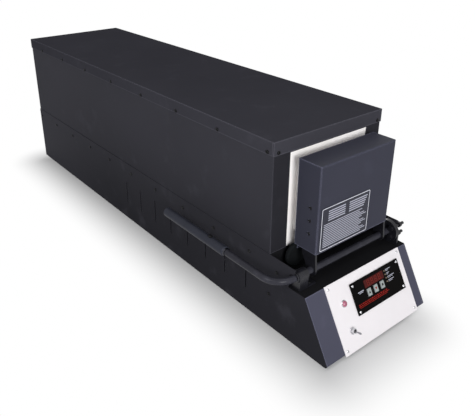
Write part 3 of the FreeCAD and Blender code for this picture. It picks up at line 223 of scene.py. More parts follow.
class MaterialGraph(Graph):
    """The nodes of one new material, with its Principled shader ready."""

    def __init__(self, name: str) -> None:
        """Makes the material.

        Args:
            name: the material's name.
        """
        self.material = bpy.data.materials.new(name)
        self.material.use_nodes = True
        super().__init__(self.material.node_tree)
        self.shader = self.tree.nodes["Principled BSDF"]

    def finish(self, **inputs: object) -> bpy.types.Material:
        """Feeds the Principled shader.

        Args:
            inputs: values or links by the input's name, with _ for each space.

        Returns:
            The material.
        """
        for name, value in inputs.items():
            self.feed(self.shader.inputs[name.replace("_", " ")], value)
        return self.material


def scaled(colour: Colour, factor: float) -> Colour:
    """A colour made darker or lighter."""
    return tuple(min(1.0, part * factor) for part in colour)


@dataclass(frozen=True)
class PowderCoat:
    """Baked fine-texture black coat on folded sheet steel.

    One field sets how far a painted highlight lightens the coat along its folds, and another how far painted
    shade darkens it low down at the front.
    """

    colour: Colour = (0.044, 0.0435, 0.053)
    roughness: float = 0.46
    gloss: float = 0.008
    # share of a painted highlight that lightens the coat along folds
    thin: float = 0.0
    # share of painted shade that darkens the coat low down at the front
    soil: float = 0.0
    cloud: float = 4.0
    grain: float = 1500.0
    smear: float = 22.0
    depth: float = 0.00018
    fold: float = 0.0028

    def build(self, name: str) -> bpy.types.Material:
        """Makes the material: orange peel, under faint changes of tone and smears of handling, with a
        painted highlight along folds and painted shade low down at the front where these are asked for.

        Args:
            name: the material's name.

        Returns:
            The material.
        """
        graph = MaterialGraph(name)
        broad = graph.noise(self.cloud, 3.0)
        peel = graph.noise(self.grain, 2.0)
        handled = graph.noise(self.smear, 6.0).between(0.56, 0.74)
        tone = graph.blend(scaled(self.colour, 0.86), scaled(self.colour, 1.18), broad)
        # Painted highlight: the Bevel node finds the folds, and the coat is lightened there as if its
        # rounded edges caught the lamps.
        if self.thin:
            folded = graph.node("ShaderNodeBevel", {"samples": 6}, {"Radius": self.fold})
            flat = graph.node("ShaderNodeNewGeometry", out="Normal")
            turn = graph.vector("DOT_PRODUCT", folded, flat, out="Value")
            fold_highlight_mask = (1.0 - turn).between(0.0, 0.11) * self.thin
            tone = graph.blend(tone, scaled(self.colour, 3.2), fold_highlight_mask)
        # Painted shade: the coat darkens low down and toward the front, by its place on the kiln, standing
        # in for the shade there.
        if self.soil:
            high = graph.along("Z").between(0.03, 0.30)
            back = graph.along("Y").between(0.05, 0.62)
            low = (1.0 - high) * (1.0 - back) * ((broad - 0.5) * 0.5 + 1.0)
            tone = graph.blend(tone, scaled(self.colour, 1.0 - self.soil), low)
        rough = (broad - 0.5) * 0.12 + (peel - 0.5) * 0.16 + handled * 0.05 + self.roughness
        return graph.finish(
            Base_Color=graph.blend(tone, scaled(self.colour, 1.35), handled * 0.35),
            Roughness=rough,
            Normal=graph.relief(peel, self.depth, 0.35),
            Specular_IOR_Level=self.gloss,
        )


@dataclass(frozen=True)
class BlackedSteel:
    """Solid steel under a fine black coat, polished a little where hands and collars run."""

    colour: Colour
    roughness: float = 0.34
    gloss: float = 0.3
    line: float = 160.0
    lay: Triple = (1.0, 6.0, 6.0)
    wear: float = 35.0
    depth: float = 0.0001

    def build(self, name: str) -> bpy.types.Material:
        """Makes the material: drawn lines along X, and a smoother, lighter rub in patches.

        Args:
            name: the material's name.

        Returns:
            The material.
        """
        graph = MaterialGraph(name)
        lines = graph.noise(self.line, 3.0, graph.place(self.lay))
        rub = graph.noise(self.wear, 4.0).between(0.5, 0.72)
        return graph.finish(
            Base_Color=graph.blend(self.colour, scaled(self.colour, 2.2), rub * 0.5),
            Roughness=(lines - 0.5) * 0.2 - rub * 0.08 + self.roughness,
            Specular_IOR_Level=self.gloss,
            Normal=graph.relief(lines, self.depth, 0.25),
        )


@dataclass(frozen=True)
class SoftFirebrick:
    """Light, open-grained insulating brick."""

    colour: Colour = (0.98, 0.96, 0.955)
    shade: Colour = (0.88, 0.835, 0.79)
    pore: float = 420.0
    fine: float = 3.2
    cloud: float = 14.0
    saw: float = 60.0
    lay: Triple = (1.0, 1.0, 12.0)
    depth: float = 0.0007

    def build(self, name: str) -> bpy.types.Material:
        """Makes the material: pores of two sizes, a sawn drag and cloudy warm staining.

        Args:
            name: the material's name.

        Returns:
            The material.
        """
        graph = MaterialGraph(name)
        sockets = {"Vector": graph.place(), "Scale": self.pore}
        cells = graph.node("ShaderNodeTexVoronoi", None, sockets, out="Distance")
        small = graph.noise(self.pore * self.fine, 3.0)
        pits = (1.0 - cells.between(0.10, 0.34)) * small.between(0.42, 0.6)
        clouds = graph.noise(self.cloud, 4.0).between(0.35, 0.72)
        drag = graph.noise(self.saw, 2.0, graph.place(self.lay))
        height = 1.0 - pits * 0.9 + small * 0.25 + drag * 0.2
        return graph.finish(
            Base_Color=graph.blend(self.colour, self.shade, clouds * 0.32 + pits * 0.5),
            Roughness=pits * 0.06 + 0.9,
            Normal=graph.relief(height, self.depth, 0.55),
        )


@dataclass(frozen=True)
class Fired:
    """Pressed ceramic or fibre: even, pale, with a faint speckle."""

    colour: Colour
    roughness: float
    speckle: float = 900.0
    depth: float = 0.0002

    def build(self, name: str) -> bpy.types.Material:
        """Makes the material.

        Args:
            name: the material's name.

        Returns:
            The material.
        """
        graph = MaterialGraph(name)
        spots = graph.noise(self.speckle, 2.0)
        return graph.finish(
            Base_Color=graph.blend(scaled(self.colour, 0.88), self.colour, spots.between(0.3, 0.6)),
            Roughness=(spots - 0.5) * 0.2 + self.roughness,
            Normal=graph.relief(spots, self.depth, 0.3),
        )


@dataclass(frozen=True)
class BareMetal:
    """Uncoated or plated metal, with the marks of its drawing or rolling along one axis."""

    colour: Colour
    roughness: float
    lay: Triple | None = None
    mottle: float = 0.12
    line: float = 900.0
    metallic: float = 1.0
    cloud: float = 45.0
    depth: float = 0.00005

    def build(self, name: str) -> bpy.types.Material:
        """Makes the material.

        Args:
            name: the material's name.

        Returns:
            The material.
        """
        graph = MaterialGraph(name)
        lines = graph.noise(self.line, 3.0, graph.place(self.lay))
        cloud = graph.noise(self.cloud, 3.0)
        return graph.finish(
            Base_Color=graph.blend(scaled(self.colour, 1.0 - self.mottle), self.colour, cloud),
            Roughness=(lines - 0.5) * 0.18 + (cloud - 0.5) * 0.1 + self.roughness,
            Metallic=self.metallic,
            Normal=graph.relief(lines, self.depth, 0.2),
        )


@dataclass(frozen=True)
class Moulded:
    """Moulded plastic or rubber, with a fine spark-eroded grain."""

    colour: Colour
    roughness: float
    grain: float = 2200.0
    depth: float = 0.00012
    gloss: float = 0.25
    cloud: float = 30.0

    def build(self, name: str) -> bpy.types.Material:
        """Makes the material.

        Args:
            name: the material's name.

        Returns:
            The material.
        """
        graph = MaterialGraph(name)
        grain = graph.noise(self.grain, 2.0)
        tone = graph.noise(self.cloud, 3.0)
        return graph.finish(
            Base_Color=graph.blend(scaled(self.colour, 0.85), scaled(self.colour, 1.15), tone),
            Roughness=(grain - 0.5) * 0.22 + self.roughness,
            Normal=graph.relief(grain, self.depth, 0.4),
            Specular_IOR_Level=self.gloss,
        )


@dataclass(frozen=True)
class CoiledWire:
    """Resistance wire, dulled and tinted by its own oxide."""

    colour: Colour = (0.16, 0.135, 0.115)
    tint: Colour = (0.30, 0.22, 0.15)
    patch: float = 380.0
    metallic: float = 0.6
    depth: float = 0.0001

    def build(self, name: str) -> bpy.types.Material:
        """Makes the material.

        Args:
            name: the material's name.

        Returns:
            The material.
        """
        graph = MaterialGraph(name)
        oxide = graph.noise(self.patch, 3.0)
        return graph.finish(
            Base_Color=graph.blend(self.colour, self.tint, oxide.between(0.4, 0.65)),
            Roughness=oxide * 0.3 + 0.4,
            Metallic=self.metallic,
            Normal=graph.relief(oxide, self.depth, 0.4),
        )


@dataclass(frozen=True)
class RedFilter:
    """Dark red window over the digits, or the ribbed lens of the pilot lamp."""

    colour: Colour = (0.045, 0.005, 0.004)
    glow: Colour = (0.16, 0.008, 0.006)
    strength: float = 0.12
    ribs: float = 0.0
    gloss: float = 0.1
    cloud: float = 90.0
    rib_depth: float = 0.0003

    def build(self, name: str) -> bpy.types.Material:
        """Makes the material: gloss over a tint that varies in depth, with ribs in the lens.

        Args:
            name: the material's name.

        Returns:
            The material.
        """
        graph = MaterialGraph(name)
        depth = graph.noise(self.cloud, 2.0)
        sockets: dict[str, object] = {
            "Base_Color": graph.blend(scaled(self.colour, 0.7), scaled(self.colour, 1.3), depth),
            "Roughness": (depth - 0.5) * 0.08 + 0.12,
            "Emission_Color": graph.blend(scaled(self.glow, 0.6), self.glow, depth),
            "Emission_Strength": self.strength,
            "Specular_IOR_Level": self.gloss,
        }
        if self.ribs:
            sockets["Normal"] = graph.relief(graph.noise(self.ribs, 0.0), self.rib_depth, 0.5)
        return graph.finish(**sockets)


@dataclass(frozen=True)
class Ink:
    """Screen-printed ink, a film fine enough to show the grain under it."""

    colour: Colour
    roughness: float = 0.5
    light: float = 0.0
    gloss: float = 0.08
    grain: float = 1500.0
    depth: float = 0.00004

    def build(self, name: str) -> bpy.types.Material:
        """Makes the material: slightly uneven cover, and light for a lit segment.

        Args:
            name: the material's name.

        Returns:
            The material.
        """
        graph = MaterialGraph(name)
        cover = graph.noise(self.grain, 2.0)
        tone = graph.blend(scaled(self.colour, 0.78), self.colour, cover.between(0.25, 0.5))
        return graph.finish(
            Base_Color=tone,
            Roughness=(cover - 0.5) * 0.2 + self.roughness,
            Emission_Color=tone,
            Emission_Strength=self.light,
            Specular_IOR_Level=self.gloss,
            Normal=graph.relief(cover, self.depth, 0.3),
        )


@dataclass(frozen=True)
class CircuitBoard:
    """Green solder resist over copper tracks."""

    resist: Colour = (0.01, 0.11, 0.035)
    track: Colour = (0.03, 0.2, 0.06)
    cell: float = 260.0
    depth: float = 0.00006

    def build(self, name: str) -> bpy.types.Material:
        """Makes the material.

        Args:
            name: the material's name.

        Returns:
            The material.
        """
        graph = MaterialGraph(name)
        settings = {"distance": "MANHATTAN"}
        sockets = {"Vector": graph.place(), "Scale": self.cell}
        cells = graph.node("ShaderNodeTexVoronoi", settings, sockets, out="Distance")
        tracks = cells.between(0.42, 0.5)
        return graph.finish(
            Base_Color=graph.blend(self.resist, self.track, tracks),
            Roughness=0.35 - tracks * 0.08,
            Normal=graph.relief(tracks, self.depth, 0.5),
        )


class Slot(Enum):
    """The record's material slots, and the finish of each; base and case have the same coat."""

    # The body coat carries painted shade, darker low down at the front.
    case_paint = PowderCoat(soil=0.5)
    base_paint = case_paint
    door_paint = PowderCoat((0.040, 0.041, 0.058), 0.40, gloss=0.03, thin=0.9)
    firebrick = SoftFirebrick()
    ceramic = Fired((0.84, 0.81, 0.75), 0.4)
    fibre_board = Fired((0.76, 0.74, 0.70), 0.92, speckle=500.0)
    element_wire = CoiledWire()
    zinc_steel = BareMetal((0.56, 0.57, 0.58), 0.38, lay=(1.0, 0.1, 1.0), mottle=0.25, line=60.0)
    black_steel = BlackedSteel((0.009, 0.009, 0.012))
    black_screws = BlackedSteel((0.008, 0.008, 0.009), 0.3, gloss=0.08)
    shaft_steel = BlackedSteel((0.027, 0.027, 0.035), 0.22, gloss=0.1)
    grip_plastic = Moulded((0.032, 0.034, 0.046), 0.30, grain=1400.0, depth=0.0002, gloss=0.06)
    chrome = BareMetal((0.60, 0.60, 0.62), 0.2, mottle=0.1)
    stop_rubber = Moulded((0.009, 0.010, 0.011), 0.72, grain=900.0, depth=0.0003, gloss=0.02)
    plate_silver = BareMetal(
        (0.82, 0.79, 0.815), 0.42, lay=(1.0, 40.0, 40.0), mottle=0.05, line=55.0, metallic=0.25
    )
    controller_black = Moulded((0.003, 0.0028, 0.0028), 0.32, grain=3000.0, depth=0.00005, gloss=0.02)
    display_red = RedFilter()
    button_white = Moulded((0.30, 0.33, 0.325), 0.42, grain=2500.0, depth=0.00006)
    lamp_red = RedFilter((0.31, 0.10, 0.155), (0.5, 0.05, 0.08), ribs=700.0, gloss=0.5)
    board_green = CircuitBoard()
    switch_black = Moulded((0.018, 0.018, 0.019), 0.45)
    door_plate = Moulded((0.030, 0.031, 0.044), 0.34, grain=2600.0, depth=0.00005, gloss=0.1)


class Mark(Enum):
    """Inks, lit parts, the finishes that single pieces have for themselves, and lighter or darker copies of
    the body paint that paint light and shade on single pieces.
    """

    white = Ink((0.80, 0.81, 0.90))
    grey = Ink((0.45, 0.46, 0.54))
    ring_metal = BareMetal((0.06, 0.06, 0.07), 0.2)
    # A lighter, bluer copy of the body paint: painted light on the console's slope, which faces the front
    # lamp.
    console_paint = PowderCoat((0.069, 0.070, 0.100), 0.42, gloss=0.02, thin=0.5)
    # A slightly lighter copy of the body paint: painted light that makes the lid and its flanges read
    # lighter than the sides.
    lid_paint = PowderCoat((0.047, 0.0465, 0.057), gloss=0.0, thin=0.45)
    # A darker copy of the body paint: painted shade on the case front, which lies in the door's shade.
    front_paint = PowderCoat((0.024, 0.0238, 0.029), thin=0.8)
    deck_paint = PowderCoat((0.012, 0.012, 0.0135), 0.5)
    bat_metal = BareMetal((0.30, 0.30, 0.32), 0.2)
    red = Ink((0.28, 0.014, 0.009), 0.45)
    dim_red = Ink((0.12, 0.008, 0.005), 0.4, light=0.2)
    black = Ink((0.015, 0.015, 0.016), 0.45)
    amber = Ink((0.26, 0.20, 0.14), 0.3)


Choice = Union[Slot, Mark]


class Palette:
    """Builds each material once and hands it out by slot or mark."""

    def __init__(self) -> None:
        """Starts with no material built."""
        self.made: dict[str, bpy.types.Material] = {}

    def of(self, choice: Choice) -> bpy.types.Material:
        """Finds the material of a slot or a mark.

        Args:
            choice: the slot or the mark.

        Returns:
            Its material, built when it is first asked for.
        """
        name = choice.name if isinstance(choice, Slot) else f"ink_{choice.name}"
        if name not in self.made:
            self.made[name] = choice.value.build(name)
        return self.made[name]


@dataclass
class Workshop:
    """What every sub-assembly needs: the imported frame, the palette and the kiln's own axes.

    From sharp_from degrees on, the edge between two faces stays sharp on a smooth piece.
    """

    frame: dict
    palette: Palette = field(default_factory=Palette)
    sharp_from: float = 38.0
    middle: float = field(init=False)
    front: float = field(init=False)

    def __post_init__(self) -> None:
        """Reads where the lid's front edge and middle are."""
        low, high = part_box("lid")
        self.middle = (low.x + high.x) / 2
        self.front = low.y

    def at(self, x: float, y: float, z: float) -> Vector:
        """A point given in millimetres from the middle of the lid's front edge, at bench height."""
        return Vector((self.middle + x / 1000, self.front + y / 1000, z / 1000))

    def slot_of(self, node: str) -> Slot:
        """The finish that the record gives to a node."""
        names = {s["node"]: s["material_slot"] for s in self.frame["record"]["subparts"]}
        return Slot[names[node]]

    def add(
        self,
        name: str,
        mesh: Mesh,
        body: str,
        finish: Choice,
        replaces: Sequence[str] = (),
        smooth: bool = False,
        coat: Mark | None = None,
    ) -> bpy.types.Object:
        """Turns a mesh into a finished piece that rides on a body.

        Args:
            name: the piece's name.
            mesh: its shape in the row frame, freed here.
            body: the CAD body that carries it.
            finish: its slot or ink.
            replaces: CAD nodes that it stands for.
            smooth: whether its faces are shaded as one curve, apart from sharp edges.
            coat: its own finish, where that differs from the slot's.

        Returns:
            The new object.
        """
        data = bpy.data.meshes.new(name)
        mesh.normal_update()
        mesh.to_mesh(data)
        mesh.free()
        piece = bpy.data.objects.new(name, data)
        bpy.context.scene.collection.objects.link(piece)
        data.materials.append(self.palette.of(coat or finish))
        if smooth:
            data.shade_smooth()
            data.set_sharp_from_angle(angle=math.radians(self.sharp_from))
        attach(piece, body)
        if replaces:
            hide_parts(*replaces)
        log.info("%s: %d faces on %s", name, len(data.polygons), body)
        return piece


def matrix_along(origin: Vector, outward: Vector, across: Vector) -> Matrix:
    """Axes for a shape that stands on a face.

    Args:
        origin: where the axes meet.
        outward: direction of Z.
        across: direction of X, as far as it is square to Z.

    Returns:
        The matrix from those axes to the row frame.
    """
    z = outward.normalized()
    x = (across - z * across.dot(z)).normalized()
    y = z.cross(x)
    return Matrix.Translation(origin) @ Matrix((x, y, z)).transposed().to_4x4()


def in_metres(shape: Sequence[Point]) -> list[Point]:
    """An outline given in millimetres, in metres."""
    return [(x / 1000, y / 1000) for x, y in shape]


def ring_of(mesh: Mesh, spots: Sequence[Point], height: float, at: Matrix) -> list[bmesh.types.BMVert]:
    """New vertices at spots of a matrix's own X and Y, all at one height."""
    return [mesh.verts.new(at @ Vector((x, y, height))) for x, y in spots]


def skin(mesh: Mesh, rings: Sequence[Sequence[bmesh.types.BMVert]]) -> None:
    """Closes the band of faces between each ring of vertices and the next.

    Args:
        mesh: where the faces go.
        rings: rings with the same number of vertices.
    """
    for low, high in zip(rings, rings[1:]):
        for i in range(len(low)):
            j = (i + 1) % len(low)
            mesh.faces.new((low[i], low[j], high[j], high[i]))


def circle(radius: float, sides: int) -> list[Point]:
    """Corners of a regular polygon."""
    turns = [2 * math.pi * i / sides for i in range(sides)]
    return [(radius * math.cos(turn), radius * math.sin(turn)) for turn in turns]


def lathe(mesh: Mesh, profile: Sequence[Point], at: Matrix, sides: int) -> None:
    """Turns an outline of radius and height pairs about a matrix's own Z.

    Args:
        mesh: where the faces go.
        profile: radius and height in metres, from one end to the other, with radius 0 on the axis.
        at: the matrix that places the turned shape.
        sides: flats round the axis.
    """
    rings = [
        ring_of(mesh, circle(radius, sides) if radius else [(0.0, 0.0)], height, at)
        for radius, height in profile
    ]
    for low, high in zip(rings, rings[1:]):
        for i in range(sides):
            j = (i + 1) % sides
            around = (low[i % len(low)], low[j % len(low)], high[j % len(high)], high[i % len(high)])
            face = list(dict.fromkeys(around))
            if len(face) > 2:
                mesh.faces.new(face)


def slab(mesh: Mesh, outline: Sequence[Point], low: float, high: float, at: Matrix) -> None:
    """Flat plate.

    Args:
        mesh: where the faces go.
        outline: counter-clockwise corners in metres, in the matrix's own X and Y.
        low: height of its back.
        high: height of its front.
        at: the matrix that places it.
    """
    rings = [ring_of(mesh, outline, height, at) for height in (low, high)]
    mesh.faces.new(rings[0][::-1])
    mesh.faces.new(rings[1])
    skin(mesh, rings)


def printed(mesh: Mesh, shape: Sequence[Point], out: float, at: Matrix, film: float = INK_FILM) -> None:
    """Lays a film of ink over a surface.

    Args:
        mesh: where the faces go.
        shape: the mark's outline in millimetres.
        out: height of the surface in millimetres.
        at: the matrix whose X and Y lie along the surface.
        film: thickness of the ink in metres.
    """
    low = out / 1000 + INK_GAP
    slab(mesh, in_metres(shape), low, low + film, at)


def rectangle(x0: float, x1: float, y0: float, y1: float) -> list[Point]:
    """Rectangle with square corners, counter-clockwise."""
    return [(x0, y0), (x1, y0), (x1, y1), (x0, y1)]


def rounded(x0: float, x1: float, y0: float, y1: float, radius: float, steps: int) -> list[Point]:
    """Rectangle with rounded corners, counter-clockwise.

    Args:
        x0: left edge.
        x1: right edge.
        y0: lower edge.
        y1: upper edge.
        radius: of the corners.
        steps: straight parts of each corner.

    Returns:
        Its outline.
    """
    centres = ((x1 - radius, y0 + radius, -90), (x1 - radius, y1 - radius, 0),
               (x0 + radius, y1 - radius, 90), (x0 + radius, y0 + radius, 180))
    points = []
    for cx, cy, start in centres:
        for i in range(steps + 1):
            turn = math.radians(start + 90 * i / steps)
            points.append((cx + radius * math.cos(turn), cy + radius * math.sin(turn)))
    return points


def border(
    mesh: Mesh, outer: Sequence[Point], inner: Sequence[Point], low: float, high: float, at: Matrix
) -> None:
    """Raised frame between two outlines with the same number of corners.

    Args:
        mesh: where the faces go.
        outer: outer outline in metres.
        inner: inner outline in metres.
        low: height of its back.
        high: height of its front.
        at: the matrix that places it.
    """
    rings = [
        ring_of(mesh, outline, height, at)
        for outline, height in ((outer, low), (outer, high), (inner, high), (inner, low))
    ]
    skin(mesh, rings + rings[:1])


def sweep(mesh: Mesh, path: Sequence[Vector], radius: float, sides: int) -> None:
    """Round bar along a path.

    Args:
        mesh: where the faces go.
        path: points of the bar's middle line.
        radius: of the bar.
        sides: flats round the bar.
    """
    rings = []
    normal = Vector((0.0, 0.0, 1.0))
    for i, point in enumerate(path):
        ahead = path[min(i + 1, len(path) - 1)] - path[max(i - 1, 0)]
        tangent = ahead.normalized()
        normal = (normal - tangent * normal.dot(tangent)).normalized()
        side = tangent.cross(normal)
        rings.append([mesh.verts.new(point + normal * x + side * y) for x, y in circle(radius, sides)])
    skin(mesh, rings)
    mesh.faces.new(rings[0][::-1])
    mesh.faces.new(rings[-1])


@dataclass
class Casing:
    """Every CAD node that keeps its shape: finish, and a soft edge on folded sheet, in metres."""

    workshop: Workshop
    soft_edges: dict[str, float] = field(default_factory=lambda: {
        "control_plate": 0.00025, "controller_plate": 0.0004, "door_plate": 0.00012,
        "hinge_arms": 0.0004, "button_1": 0.0006, "button_2": 0.0006, "button_3": 0.0006,
        "lid": 0.0009, "door_shell": 0.0009, "case_side_left": 0.0006, "case_side_right": 0.0006,
        "base_side_left": 0.0006, "base_side_right": 0.0006, "hinge_bracket_left": 0.0008,
        "hinge_bracket_right": 0.0006, "door_brick": 0.0015,
    })
    # Besides real finishes, this table gives copies of the body paint that carry painted light (console,
    # lid) and painted shade (case front).
    own_finish: dict[str, Mark] = field(default_factory=lambda: {
        "grip_ring": Mark.ring_metal, "console_front": Mark.console_paint, "lid": Mark.lid_paint,
        "case_front": Mark.front_paint, "deck": Mark.deck_paint,
    })
    edge_steps: int = 2
    edge_from: float = 40.0

    def dress(self) -> None:
        """Gives every node its material and bevels the listed ones."""
        for name, node in self.workshop.frame["nodes"].items():
            material = self.workshop.palette.of(self.own_finish.get(name) or self.workshop.slot_of(name))
            if not node.data.materials:
                node.data.materials.append(material)
            for index in range(len(node.material_slots)):
                node.material_slots[index].material = material
            width = self.soft_edges.get(name)
            if width:
                bevel = node.modifiers.new("edge", "BEVEL")
                bevel.width = width
                bevel.segments = self.edge_steps
                bevel.limit_method = "ANGLE"
                bevel.angle_limit = math.radians(self.edge_from)
            log.info("%s: %s", name, material.name)


@dataclass
class PanHeads:
    """Pan-head screws with a cross recess, in place of the plain CAD ones.

    height and shank are the larger screws' head height and shank radius in metres. crown holds the
    dome's radii and heights, as shares of the head's, and recess the share of the radius where the dome
    ends. Inside it the cross is waist wide between its arms, which reach waist + arm. Its rim lies at
    the share brim of the height, and its floor sink below that. Each screw is turned by spin more.
    """

    workshop: Workshop
    height: float = 0.0022
    shank: float = 0.002
    crown: tuple[Point, ...] = ((1.0, 0.0), (1.0, 0.32), (0.93, 0.6), (0.78, 0.84))
    recess: float = 0.52
    waist: float = 0.24
    arm: float = 0.62
    brim: float = 0.97
    sink: float = 0.42
    sides: int = 20
    spin: float = 1.13
    kiln_middle: Triple = (0.0, 505.0, 240.0)
    weld: float = 1e-6

    def head(
        self, mesh: Mesh, radius: float, height: float, shank: float, length: float, at: Matrix
    ) -> None:
        """One screw: domed head whose crown falls away into a cross, and its shank.

        Args:
            mesh: where the faces go.
            radius: of the head.
            height: of the head.
            shank: radius of the shank.
            length: of the shank below the head.
            at: the seat's middle, with Z outward.
        """
        profile = [(0.0, -length), (shank, -length), (shank, 0.0)]
        profile += [(radius * wide, height * up) for wide, up in self.crown]
        profile += [(radius * self.recess, height)]
        lathe(mesh, profile, at, self.sides)
        mouth = mesh.verts[-self.sides:]
        cross = []
        for x, y in circle(1.0, self.sides):
            reach = radius * self.recess * (self.waist + self.arm * abs(x * x - y * y) ** 3)
            cross.append((reach * x, reach * y))
        rim = ring_of(mesh, cross, height * self.brim, at)
        floor = ring_of(mesh, cross, height * (self.brim - self.sink), at)
        skin(mesh, (mouth, rim, floor))
        mesh.faces.new(floor)

    def islands(self, node: str) -> list[tuple[Vector, Vector]]:
        """Finds the separate solids of a CAD node.

        Args:
            node: the node's name.

        Returns:
            Lowest and highest corner of each solid.
        """
        mesh = bmesh.new()
        mesh.from_mesh(self.workshop.frame["nodes"][node].data)
        bmesh.ops.remove_doubles(mesh, verts=mesh.verts, dist=self.weld)
        seen: set[int] = set()
        boxes = []
        mesh.verts.ensure_lookup_table()
        for start in mesh.verts:
            if start.index in seen:
                continue
            group, queue = [], [start]
            seen.add(start.index)
            while queue:
                vertex = queue.pop()
                group.append(vertex.co.copy())
                for edge in vertex.link_edges:
                    other = edge.other_vert(vertex)
                    if other.index not in seen:
                        seen.add(other.index)
                        queue.append(other)
            low = Vector(min(p[k] for p in group) for k in range(3))
            high = Vector(max(p[k] for p in group) for k in range(3))
            boxes.append((low, high))
        mesh.free()
        return boxes

    def replace(self, node: str, body: str, piece: str) -> None:
        """Replaces a node of screws that lie along an axis of the row frame.

        Args:
            node: the CAD node.
            body: the body that carries it.
            piece: name of the new piece.
        """
        mesh = bmesh.new()
        middle = self.workshop.at(*self.kiln_middle)
        for index, (low, high) in enumerate(self.islands(node)):
            centre, size = (low + high) / 2, high - low
            axis = min(range(3), key=lambda k: size[k])
            wide = max(size[k] for k in range(3) if k != axis)
            outward = Vector((0.0, 0.0, 0.0))
            outward[axis] = 1.0 if axis == 2 or centre[axis] > middle[axis] else -1.0
            seat = centre + outward * (size[axis] / 2 - self.height)
            across = Vector((0.0, 0.0, 1.0)) if axis != 2 else Vector((1.0, 0.0, 0.0))
            turned = Matrix.Rotation(index * self.spin, 3, outward) @ across
            at = matrix_along(seat, outward, turned)
            self.head(mesh, wide / 2, self.height, self.shank, size[axis] - self.height, at)
        self.workshop.add(piece, mesh, body, self.workshop.slot_of(node), (node,), smooth=True)


